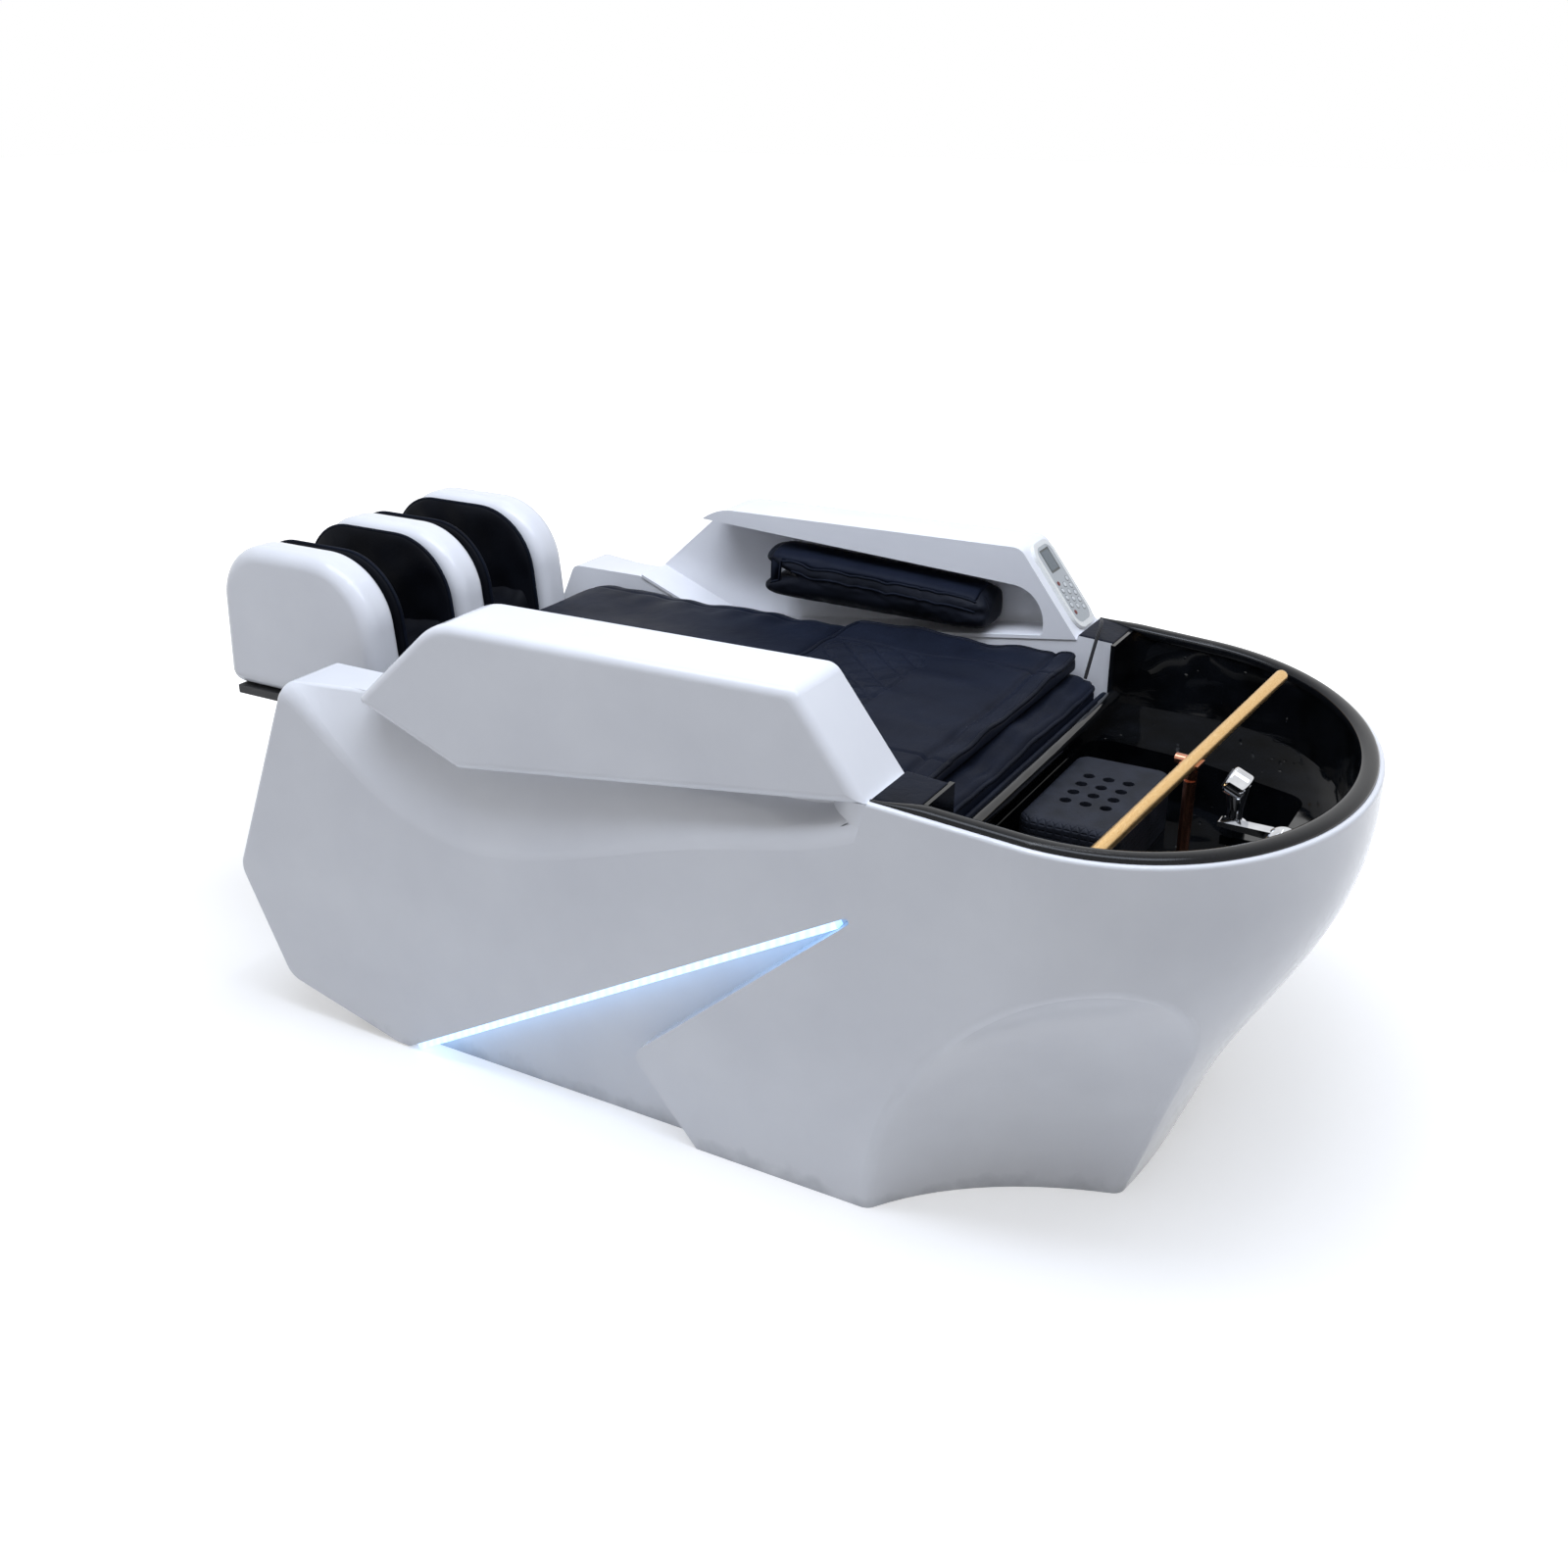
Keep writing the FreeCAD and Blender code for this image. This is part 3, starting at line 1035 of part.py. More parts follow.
def make_handset():
    """Shower handset standing in its ring, with a spray face."""
    foot = Vector(S.handset_x, S.handset_y, S.handset_foot_z)
    seat = Vector(S.handset_x, S.handset_y, S.tap_deck_z + S.holder_height + S.seat_gap / 3)
    collar = Part.makeCylinder(S.holder_radius - S.fit_gap, S.holder_height / 3, seat)
    grip = Part.makeCylinder(S.handset_grip_radius, S.handset_length, foot)
    flare_height = S.handset_length * S.handset_flare_share
    flare = Part.makeCone(S.handset_grip_radius + 2 * S.fit_gap, S.holder_radius, flare_height,
                          foot + Vector(0, 0, S.handset_length - flare_height))
    axis = Vector(-1, 0, S.handset_nod_share).normalize()
    crown = foot + Vector(0, 0, S.handset_length)
    head = Part.makeCylinder(S.handset_head_radius, S.handset_head_length,
                             crown - axis * S.handset_head_length / 2, axis)
    rims = [edge for edge in head.Edges if len(edge.Vertexes) == 1]
    head = head.makeFillet(S.handset_head_radius / 4, rims)
    feature("shower_handset", grip.fuse([collar, flare, head]).removeSplitter())
    face = Part.makeCylinder(S.handset_head_radius * S.spray_face_share, S.mixer_flange / 2,
                             crown + axis * (S.handset_head_length / 2 + S.seat_gap / 3), axis)
    feature("handset_spray_face", face)
    ring = turned("handset_holder", [("dims.handset_grip_radius + dims.fit_gap", "0"),
                                     ("dims.holder_radius", "0"), ("dims.holder_radius", "dims.holder_height"),
                                     ("dims.handset_grip_radius + dims.fit_gap", "dims.holder_height")])
    place(ring, "dims.handset_x", "dims.handset_y", "dims.tap_deck_z + dims.seat_gap / 3")


def keypad_frame():
    """Placement of the keypad: own X down the slanting end face, own Z out of it."""
    down = Vector(S.arm_end_x - S.arm_top_rear_x, 0, S.arm_end_z - S.arm_top_rear_z).normalize()
    out = Vector(-down.z, 0, down.x)
    turn = Rotation(down, Vector(0, 1, 0), out, "ZXY")
    corner = Vector(S.arm_top_rear_x, S.keypad_y, S.arm_top_rear_z + S.seat_gap)
    return Placement(corner + down * S.keypad_from_top + out * (S.seat_gap / 3), turn)


def button_spots():
    """Quincunx of the keys: two outer columns of five and a middle column of four."""
    spots = []
    for column, count, shift in ((-1, 5, 0), (0, 4, 0.5), (1, 5, 0)):
        for step in range(count):
            row = f"dims.button_pitch * dims.button_row_share * {step + shift}"
            across = f"dims.button_first + {row} - dims.button_pitch / 2"
            spots.append((across, f"dims.button_column * {column}"))
    return spots


def make_keypad():
    """Keypad: bezel, overlay with key holes, screen and fourteen keys."""
    spot = keypad_frame()
    bezel = plate("keypad_bezel", "dims.keypad_length", "dims.keypad_width", "dims.keypad_thickness")
    round_edges(bezel, "dims.keypad_radius", upright)
    recess = new_sketch(bezel, "bezel_recess", "XY_Plane", "dims.keypad_thickness")
    draw_rectangle(recess, "dims.overlay_length", "dims.overlay_width")
    pocket(bezel, recess, "dims.overlay_depth + dims.seat_gap")
    round_edges(bezel, "dims.overlay_radius", lambda edge: upright(edge) and edge.BoundBox.ZMin > S.seat_gap)
    overlay = plate("keypad_overlay", "dims.overlay_length - dims.seat_gap",
                    "dims.overlay_width - dims.seat_gap", "dims.overlay_depth")
    round_edges(overlay, "dims.overlay_radius", upright)
    holes = new_sketch(overlay, "overlay_holes", "XY_Plane")
    for across, up in button_spots():
        draw_circle(holes, across, up, "dims.button_radius + dims.button_gap")
    draw_rectangle(holes, "dims.screen_length", "dims.screen_width", "0 - dims.screen_centre")
    pocket(overlay, holes)
    screen = plate("keypad_screen", "dims.screen_length - dims.seat_gap", "dims.screen_width - dims.seat_gap",
                   "dims.overlay_depth - dims.screen_depth / 2")
    lift = S.keypad_thickness - S.overlay_depth - S.seat_gap * S.overlay_lift_share
    bezel.Placement = spot
    overlay.Placement = spot * Placement(Vector(0, 0, lift), Rotation())
    screen.Placement = spot * Placement(Vector(-S.screen_centre, 0, lift), Rotation())
    for index, (across, up) in enumerate(button_spots(), start=1):
        label = f"keypad_button_{index:02d}"
        body = turned(label, [("0", "0"), ("dims.button_radius", "0"),
                              ("dims.button_radius", "dims.button_height * dims.button_bevel_share"),
                              ("dims.button_radius * dims.button_bevel_share", "dims.button_height"),
                              ("0", "dims.button_height")])
        rise = lift + S.overlay_depth - S.button_height * S.button_sink_share
        body.Placement = spot * Placement(Vector(number(across), number(up), rise), Rotation())


def make_soft():
    """Headrest block, cushions, airbags and strap."""
    headrest = plate("headrest_block", "dims.block_length", "dims.block_half_width * 2",
                     "dims.block_top_z - dims.well_floor_z - dims.seat_gap")
    round_edges(headrest, "dims.block_radius * 2", upright)
    top = headrest.Tip.Shape.BoundBox.ZMax
    round_edges(headrest, "dims.block_radius", lambda edge: edge.BoundBox.ZMin > top - S.seat_gap)
    holes = new_sketch(headrest, "headrest_holes", "XY_Plane")
    for row in (-1, 0, 1):
        for column in (-1.5, -0.5, 0.5, 1.5):
            draw_circle(holes, f"dims.block_hole_pitch_x * ({row})", f"dims.block_hole_pitch_y * ({column})",
                        "dims.block_hole_radius")
    pocket(headrest, holes)
    place(headrest, "dims.block_front_x + dims.block_length / 2", "0", "dims.well_floor_z + dims.seat_gap")
    deck = S.deck_z + S.seat_gap
    feature("seat_cushion", cushion(S.seat_front_x, S.seat_rear_x - S.seat_gap, S.cushion_half_width, deck,
                                    S.seat_top_z, S.cushion_inset, S.cushion_crown))
    feature("back_cushion", cushion(S.seat_rear_x + S.seat_gap, S.back_rear_x, S.cushion_half_width, deck,
                                    S.back_top_z, S.cushion_inset, S.cushion_crown))
    feature("back_pad", cushion(S.pad_front_x, S.pad_rear_x, S.pad_half_width, S.back_top_z + S.seat_gap,
                                S.pad_top_z, S.pad_inset, S.cushion_crown))
    for name, side in SIDES.items():
        cells = [airbag(side, True), airbag(side, False)]
        feature(f"{name}_arm_airbags", Part.makeCompound(cells))
    route = [Vector(S.strap_foot_x, S.strap_foot_y, S.strap_foot_z),
             Vector(S.strap_bend_x, S.strap_bend_y, S.strap_bend_z),
             Vector(S.strap_end_x, S.strap_end_y, S.strap_end_z)]
    feature("pad_strap", bent_tube(route, S.strap_radius))


def make_frame():
    """Welded steel frame with its equipment tray and guide rods, and the levelling feet."""
    members = []
    span = "dims.frame_rear_x - dims.frame_front_x + dims.tube"
    for name, side in SIDES.items():
        y = f"{side} * dims.frame_half_width - dims.tube / 2"
        members.append(box(f"{name}_sill", span, "dims.tube", "dims.tube",
                           "dims.frame_front_x - dims.tube / 2", y, "dims.frame_z"))
        for end in ("front", "rear"):
            members.append(box(f"{name}_{end}_post", "dims.tube", "dims.tube",
                               "dims.deck_z - dims.wall - dims.frame_z - dims.seat_gap",
                               f"dims.frame_{end}_x - dims.tube / 2", y, "dims.frame_z"))
    for end in ("front", "rear"):
        x = f"dims.frame_{end}_x - dims.tube / 2"
        y = "0 - dims.frame_half_width"
        members.append(box(f"{end}_low_bar", "dims.tube", "dims.frame_half_width * 2", "dims.tube", x, y,
                           "dims.frame_z"))
        members.append(box(f"{end}_rod_bar", "dims.tube", "dims.frame_half_width * 2",
                           "dims.rail_rod_z - dims.screw_z + dims.tube * 2", x, y, "dims.screw_z - dims.tube"))
    members.append(box("equipment_tray", span, "dims.frame_half_width * 2", "dims.mixer_flange",
                       "dims.frame_front_x - dims.tube / 2", "0 - dims.frame_half_width",
                       "dims.frame_z + dims.tube - dims.mixer_flange"))
    for name, side in SIDES.items():
        members.append(rod(f"{name}_guide_rod", "dims.rail_rod_radius", span,
                           "dims.frame_front_x - dims.tube / 2", f"{side} * dims.rail_rod_y", "dims.rail_rod_z",
                           ALONG_X))
    keep("base_frame", fuse("base_frame", members))
    feet = []
    for end in ("dims.frame_front_x", "(dims.frame_front_x + dims.frame_rear_x) / 2", "dims.frame_rear_x"):
        for side in SIDES.values():
            y = f"{side} * dims.frame_half_width"
            tag = len(feet)
            disc = rod(f"foot_disc_{tag}", "dims.foot_pad_radius", "dims.foot_pad_height", end, y, "0")
            stud = rod(f"foot_stud_{tag}", "dims.foot_stud_radius", "dims.frame_z", end, y, "0")
            feet.append(fuse(f"foot_{tag}", [disc, stud]))
    group = doc.addObject("Part::Compound", "levelling_feet")
    group.Links = feet
    keep("levelling_feet", group)


def make_drive():
    """Lead screw, carriage, kneading shaft and rollers."""
    inner = "dims.frame_rear_x - dims.frame_front_x - dims.tube"
    start = "dims.frame_front_x + dims.tube / 2"
    keep("lead_screw", rod("lead_screw", "dims.screw_radius", f"{inner} - dims.seat_gap * 2",
                           f"{start} + dims.seat_gap", "0", "dims.screw_z", ALONG_X))
    feature("massage_carriage", massage_carriage())
    reach = "dims.carriage_window_half + dims.cheek_thickness"
    keep("kneading_shaft", rod("kneading_shaft", "dims.shaft_radius", f"({reach}) * 2",
                               "(dims.deck_slot_front_x + dims.deck_slot_rear_x) / 2", f"0 - ({reach})",
                               "dims.shaft_z", ALONG_Y))
    feature("kneading_rollers", kneading_rollers())


def make_cases():
    """Control box, air pump and water heater on the equipment tray."""
    floor = "dims.frame_z + dims.tube + dims.seat_gap / 3"
    control = plate("control_box", "dims.control_length", "dims.control_width", "dims.control_height")
    round_edges(control, "dims.wall", upright)
    place(control, "dims.control_x", "0", floor)
    motor = rod("pump_motor", "dims.pump_radius", "dims.pump_length", "dims.pump_x", "0",
                "dims.frame_z + dims.tube + dims.pump_radius", ALONG_X)
    saddle = box("pump_saddle", "dims.pump_length", "dims.pump_radius * 2", "dims.pump_radius", "dims.pump_x",
                 "0 - dims.pump_radius", floor)
    keep("air_pump", fuse("air_pump", [motor, saddle]))
    tank = rod("heater_tank", "dims.heater_radius", "dims.heater_length", "dims.heater_x", "0",
               "dims.frame_z + dims.tube + dims.heater_radius + dims.wall", ALONG_X)
    width = "dims.heater_radius * dims.cradle_width_share"
    cradle = box("heater_cradle", "dims.heater_length", width, "dims.heater_radius * dims.cradle_height_share",
                 "dims.heater_x", f"0 - {width} / 2", floor)
    keep("water_heater", fuse("water_heater", [tank, cradle]))


def make_legs():
    """Leg massager: tray, three fins, two liners, hinge pin and brackets."""
    feature("leg_tray", leg_tray())
    for name, step in (("left", -1), ("middle", 0), ("right", 1)):
        feature(f"{name}_leg_fin", leg_fin(step * S.fin_pitch))
    for name, side in SIDES.items():
        feature(f"{name}_calf_liner", calf_liner(side * S.fin_pitch / 2))
    feature("leg_hinge_brackets", hinge_brackets())
    keep("leg_hinge_pin", rod("leg_hinge_pin", "dims.hinge_pin_radius", "dims.hinge_pin_half * 2",
                              "dims.hinge_x", "0 - dims.hinge_pin_half", "dims.hinge_z", ALONG_Y))


make_hull()
make_plumbing()
make_keypad()
make_soft()
make_frame()
make_drive()
make_cases()
make_legs()
doc.recompute()

os.makedirs("parts", exist_ok=True)
for obj in doc.Objects:
    if "Invalid" in obj.State or "Error" in obj.State:
        raise RuntimeError(f"{obj.Label} did not build: {obj.State}")
for obj in parts:
    if obj.Shape.isNull() or not obj.Shape.isValid():
        raise RuntimeError(f"{obj.Label} has no valid shape")
    obj.Shape.exportStep(f"parts/{obj.Label}.step")
print(len(parts), "sub-parts written")
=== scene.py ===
"""Looks of the head spa unit, built round its solid model. Metres, +X to the head end, +Z up."""
import math

import bmesh
import bpy
import numpy as np
from mathutils.bvhtree import BVHTree
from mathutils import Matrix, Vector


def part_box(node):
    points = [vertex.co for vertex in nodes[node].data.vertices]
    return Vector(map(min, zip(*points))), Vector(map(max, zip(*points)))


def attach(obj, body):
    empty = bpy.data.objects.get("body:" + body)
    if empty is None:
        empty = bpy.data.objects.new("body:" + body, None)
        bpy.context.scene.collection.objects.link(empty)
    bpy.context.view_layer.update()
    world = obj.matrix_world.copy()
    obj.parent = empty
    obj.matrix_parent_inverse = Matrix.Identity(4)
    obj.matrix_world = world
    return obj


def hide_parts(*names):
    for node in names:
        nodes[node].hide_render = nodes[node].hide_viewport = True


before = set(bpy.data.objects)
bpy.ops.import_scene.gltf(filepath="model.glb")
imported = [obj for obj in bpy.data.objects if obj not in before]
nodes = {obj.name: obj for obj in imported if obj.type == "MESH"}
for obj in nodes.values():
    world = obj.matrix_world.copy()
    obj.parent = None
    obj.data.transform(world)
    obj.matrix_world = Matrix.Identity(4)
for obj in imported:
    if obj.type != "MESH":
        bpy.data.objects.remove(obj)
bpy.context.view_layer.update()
scene = bpy.context.scene
MM = 0.001


# Mesh helpers

def grid_faces(rows, columns, wrap_rows=False, wrap_columns=False, start=0):
    """Quads of a grid of rows by columns points; a wrapped side joins its last line to its first."""
    row = np.arange(rows if wrap_rows else rows - 1)[:, None]
    column = np.arange(columns if wrap_columns else columns - 1)[None, :]
    next_row = (row + 1) % rows
    next_column = (column + 1) % columns
    quads = [row * columns + column, row * columns + next_column,
             next_row * columns + next_column, next_row * columns + column]
    return start + np.stack([np.broadcast_to(q, (row.size, column.size)) for q in quads], -1).reshape(-1, 4)


def mesh_object(name, patches, material):
    """One smooth mesh of grids, each as (points, wrap rows, wrap columns), welded and faced outwards."""
    points = []
    faces = []
    count = 0
    for grid, wrap_rows, wrap_columns in patches:
        rows, columns = grid.shape[:2]
        points.append(grid.reshape(-1, 3))
        faces.append(grid_faces(rows, columns, wrap_rows, wrap_columns, count))
        count += rows * columns
    mesh = bpy.data.meshes.new(name)
    mesh.from_pydata(np.concatenate(points).tolist(), [], np.concatenate(faces).tolist())
    tidy = bmesh.new()
    tidy.from_mesh(mesh)
    bmesh.ops.remove_doubles(tidy, verts=tidy.verts, dist=2e-6)
    bmesh.ops.dissolve_degenerate(tidy, edges=tidy.edges, dist=1e-7)
    bmesh.ops.recalc_face_normals(tidy, faces=tidy.faces)
    tidy.to_mesh(mesh)
    tidy.free()
    mesh.shade_smooth()
    mesh.materials.append(material)
    piece = bpy.data.objects.new(name, mesh)
    scene.collection.objects.link(piece)
    return piece


def resample(points, count, closed=False):
    """Points evenly spaced by length along a polyline."""
    line = np.vstack([points, points[:1]]) if closed else np.asarray(points, float)
    reach = np.concatenate([[0], np.cumsum(np.linalg.norm(np.diff(line, axis=0), axis=1))])
    stations = np.linspace(0, reach[-1], count + 1)[:-1] if closed else np.linspace(0, reach[-1], count)
    return np.stack([np.interp(stations, reach, line[:, axis]) for axis in range(3)], -1)


def round_outline(corners, radii, arc_points=12):
    """Closed outline in a plane: each corner is cut by an arc tangent to both of its sides."""
    corners = np.asarray(corners, float)
    line = []
    for here, before, after, radius in zip(corners, np.roll(corners, 1, 0), np.roll(corners, -1, 0), radii):
        back = (before - here) / np.linalg.norm(before - here)
        ahead = (after - here) / np.linalg.norm(after - here)
        half = 0.5 * math.acos(np.clip(back @ ahead, -1, 1))
        middle = (back + ahead) / np.linalg.norm(back + ahead)
        centre = here + middle * radius / math.sin(half)
        turn = np.linspace(-1, 1, arc_points)[:, None] * (math.pi / 2 - half)
        tangent = (ahead - back) / np.linalg.norm(ahead - back)
        line.append(centre + radius * (np.sin(turn) * tangent - np.cos(turn) * middle))
    return np.concatenate(line)


def tube(path, radius, sides=10, closed=False):
    """Round profile carried along a path: centre + radius * (cos a * side + sin a * up), up near +Z."""
    path = np.asarray(path, float)
    ahead = np.roll(path, -1, 0) - np.roll(path, 1, 0)
    if not closed:
        ahead[0] = path[1] - path[0]
        ahead[-1] = path[-1] - path[-2]
    ahead /= np.linalg.norm(ahead, axis=1)[:, None]
    side = np.cross(ahead, (0.0, 0.02, 1.0))
    side /= np.linalg.norm(side, axis=1)[:, None]
    up = np.cross(side, ahead)
    angle = np.linspace(0, 2 * math.pi, sides, endpoint=False)
    reach = np.broadcast_to(np.asarray(radius, float), (len(path),))[:, None, None]
    ring = np.cos(angle)[None, :, None] * side[:, None] + np.sin(angle)[None, :, None] * up[:, None]
    grid = path[:, None] + reach * ring
    if not closed:
        first = np.repeat(path[:1, None], sides, 1)
        last = np.repeat(path[-1:, None], sides, 1)
        grid = np.concatenate([first, grid, last])
    return grid, closed, True


def stations(low, high, edge, spacing, edge_steps):
    """Places across a cushion: even in the middle, closer and closer towards both rolled edges."""
    roll = np.sin(np.linspace(0, math.pi / 2, edge_steps + 1))
    inner = np.linspace(low + edge, high - edge, max(2, round((high - low - 2 * edge) / spacing)))
    return np.concatenate([low + edge - edge * roll[:0:-1], inner, high - edge + edge * roll[1:]])


def noise(x, y, seed, count=7):
    """Smooth wrinkle field of about unit height: a sum of sine waves of seeded direction and length."""
    source = np.random.default_rng(seed)
    total = np.zeros(np.broadcast(x, y).shape)
    for turn, wave, phase in zip(source.uniform(0, math.pi, count), source.uniform(0.7, 2.2, count),
                                 source.uniform(0, 2 * math.pi, count)):
        total = total + np.sin(2 * math.pi * wave * (x * math.cos(turn) + y * math.sin(turn)) + phase)
    return total / math.sqrt(count)


def groove(distance, width):
    """Depth share of a sewn line: 1 on the line, falling off as exp(-(distance / width)^2)."""
    return np.exp(-(distance / width) ** 2)


def cushion(box, edge, seam_share, relief, spacing=0.004, square=2.4):
    """Closed cushion over a rounded rectangle, as two sheets joined at the seam.
    Corner squares map to quarter discs, (p, q) -> (p sqrt(1 - q^2/2), q sqrt(1 - p^2/2)).
    Height above the seam is H (1 - m^s)^(1/s), m the place across the roll; relief(x, y) is added on top."""
    (x0, x1), (y0, y1), (z0, z1) = box
    x = stations(x0, x1, edge, spacing, 9)[:, None]
    y = stations(y0, y1, edge, spacing, 9)[None, :]
    centre_x, centre_y = (x0 + x1) / 2, (y0 + y1) / 2
    across = np.clip((np.abs(x - centre_x) - (x1 - x0) / 2 + edge) / edge, 0, 1)
    along = np.clip((np.abs(y - centre_y) - (y1 - y0) / 2 + edge) / edge, 0, 1)
    shift_x = edge * (across * np.sqrt(1 - along ** 2 / 2) - across) * np.sign(x - centre_x)
    shift_y = edge * (along * np.sqrt(1 - across ** 2 / 2) - along) * np.sign(y - centre_y)
    place_x = x + shift_x
    place_y = y + shift_y
    rise = (1 - np.maximum(across, along) ** square) ** (1 / square)
    seam = z0 + seam_share * (z1 - z0)
    top = seam + (z1 - seam) * rise + relief(place_x, place_y) * rise
    bottom = seam - (seam - z0) * rise
    return [(np.stack([place_x, place_y, top], -1), False, False),
            (np.stack([place_x, place_y, bottom], -1), False, False)]


def rim(box, edge, inset, height, count):
    """Loop over a cushion's plan, drawn in by an inset, at a height that may be a function of x and y."""
    (x0, x1), (y0, y1) = box[:2]
    corners = [(x0 + inset, y0 + inset), (x1 - inset, y0 + inset), (x1 - inset, y1 - inset),
               (x0 + inset, y1 - inset)]
    flat = round_outline(corners, [edge] * 4)
    line = resample(np.column_stack([flat, np.zeros(len(flat))]), count, True)
    line[:, 2] = height(line[:, 0], line[:, 1])
    return line


# Material helpers

def linear(code):
    """A hex sRGB colour as linear red, green, blue and alpha."""
    shares = [int(code[i:i + 2], 16) / 255 for i in (1, 3, 5)]
    return tuple(s / 12.92 if s <= 0.04045 else ((s + 0.055) / 1.055) ** 2.4 for s in shares) + (1.0,)


def add(tree, kind, links=None, values=None, stops=(), **settings):
    """Add a node with settings, constant inputs and links; a colour ramp has two (place, colour) stops."""
    node = tree.nodes.new(kind)
    for name, value in settings.items():
        setattr(node, name, value)
    for name, value in (values or {}).items():
        node.inputs[name].default_value = value
    for name, socket in (links or {}).items():
        tree.links.new(socket, node.inputs[name])
    for index, (place, code) in enumerate(stops):
        node.color_ramp.elements[index].position = place
        node.color_ramp.elements[index].color = linear(code)
    return node


def new_material(name, values):
    """A material with a Principled shader whose constant sockets are set, and its Object coordinates."""
    material = bpy.data.materials.new(name)
    material.use_nodes = True
    tree = material.node_tree
    shader = tree.nodes["Principled BSDF"]
    for key, value in values.items():
        shader.inputs[key].default_value = value
    place = tree.nodes.new("ShaderNodeTexCoord").outputs["Object"]
    return material, tree, shader, place


def connect(tree, shader, **sockets):
    """Link sockets to the shader's inputs, with underscores for spaces."""
    for name, socket in sockets.items():
        tree.links.new(socket, shader.inputs[name.replace("_", " ")])


def waves(size_mm):
    """Texture scale per metre that gives a pattern of that size."""
    return 1000 / size_mm


def mottle(tree, place, size_mm, detail):
    """Noise texture with blotches of about that size."""
    return add(tree, "ShaderNodeTexNoise", {"Vector": place}, {"Scale": waves(size_mm), "Detail": detail})


# Materials

def gelcoat():
    """Polished white gelcoat over glass fibre: glossy and faintly mottled, with scuffs, and greyer in
    blotches within 90 mm of the floor.
    """
    material, tree, shader, place = new_material(
        "white_gelcoat_polished",
        {"IOR": 1.5, "Specular IOR Level": 0.24, "Coat Weight": 0.12, "Coat Roughness": 0.02})
    cloud = mottle(tree, place, 190, 4.0)
    tint = add(tree, "ShaderNodeValToRGB", {"Fac": cloud.outputs["Fac"]},
               stops=[(0.3, "#E5E6EA"), (0.7, "#EDEEF1")])
    # greyer (#CDCFD3) in noise blotches within 90 mm of the floor, and only the mottled white above that
    height = add(tree, "ShaderNodeSeparateXYZ", {"Vector": place})
    low = add(tree, "ShaderNodeMapRange", {"Value": height.outputs["Z"]}, {"From Min": 0.0, "From Max": 0.09})
    dust = mottle(tree, place, 45, 6.0)
    floor_blotch = add(tree, "ShaderNodeMath", {0: dust.outputs["Fac"], 1: low.outputs["Result"]}, operation="ADD")
    tint_share = add(tree, "ShaderNodeMapRange", {"Value": floor_blotch.outputs[0]}, {"From Min": 0.3, "From Max": 0.75})
    colour = add(tree, "ShaderNodeMix", {"Factor": tint_share.outputs["Result"], "B": tint.outputs["Color"]},
                 {"A": linear("#CDCFD3")}, data_type="RGBA")
    scuff = mottle(tree, place, 28, 8.0)
    rough = add(tree, "ShaderNodeMapRange", {"Value": scuff.outputs["Fac"]}, {"To Min": 0.05, "To Max": 0.18})
    # print-through of the glass mat, drawn at 9 mm so that it shows
    mat = mottle(tree, place, 9, 2.0)
    print_through = add(tree, "ShaderNodeBump", {"Height": mat.outputs["Fac"]}, {"Distance": 0.05 * MM})
    sag = mottle(tree, place, 120, 1.0)
    skin = add(tree, "ShaderNodeBump",
               {"Height": sag.outputs["Fac"], "Normal": print_through.outputs["Normal"]},
               {"Distance": 1.0 * MM})
    connect(tree, shader, Base_Color=colour.outputs["Result"], Roughness=rough.outputs["Result"],
            Normal=skin.outputs["Normal"])
    return material


def basin_acrylic():
    """Black acrylic, vacuum formed and glossy, with beads of water and dried streaks on it."""
    material, tree, shader, place = new_material(
        "black_acrylic_formed", {"IOR": 1.49, "Specular IOR Level": 0.5})
    film = mottle(tree, place, 60, 5.0)
    tint = add(tree, "ShaderNodeValToRGB", {"Fac": film.outputs["Fac"]},
               stops=[(0.35, "#050607"), (0.75, "#101216")])
    streak = add(tree, "ShaderNodeMapping", {"Vector": place}, {"Scale": (1.0, 1.0, 0.12)})
    runs = mottle(tree, streak.outputs[0], 16, 5.0)
    rough = add(tree, "ShaderNodeMapRange", {"Value": runs.outputs["Fac"]}, {"To Min": 0.015, "To Max": 0.09})
    # beads 5 to 8 mm across, one in each cell of about 26 mm, kept in part of the cells
    beads = add(tree, "ShaderNodeTexVoronoi", {"Vector": place}, {"Scale": waves(26)})
    dome = add(tree, "ShaderNodeMapRange", {"Value": beads.outputs["Distance"]},
               {"From Min": 0.0, "From Max": 0.14, "To Min": 1.0, "To Max": 0.0})
    parts = add(tree, "ShaderNodeSeparateColor", {"Color": beads.outputs["Color"]})
    kept = add(tree, "ShaderNodeMath", {0: parts.outputs["Red"]}, {1: 0.55}, operation="GREATER_THAN")
    bead = add(tree, "ShaderNodeMath", {0: dome.outputs["Result"], 1: kept.outputs[0]}, operation="MULTIPLY")
    wet = add(tree, "ShaderNodeBump", {"Height": bead.outputs[0]}, {"Distance": 1.2 * MM})
    ripple = mottle(tree, place, 75, 1.0)
    skin = add(tree, "ShaderNodeBump", {"Height": ripple.outputs["Fac"], "Normal": wet.outputs["Normal"]},
               {"Distance": 2.2 * MM})
    connect(tree, shader, Base_Color=tint.outputs["Color"], Roughness=rough.outputs["Result"],
            Normal=skin.outputs["Normal"])
    return material


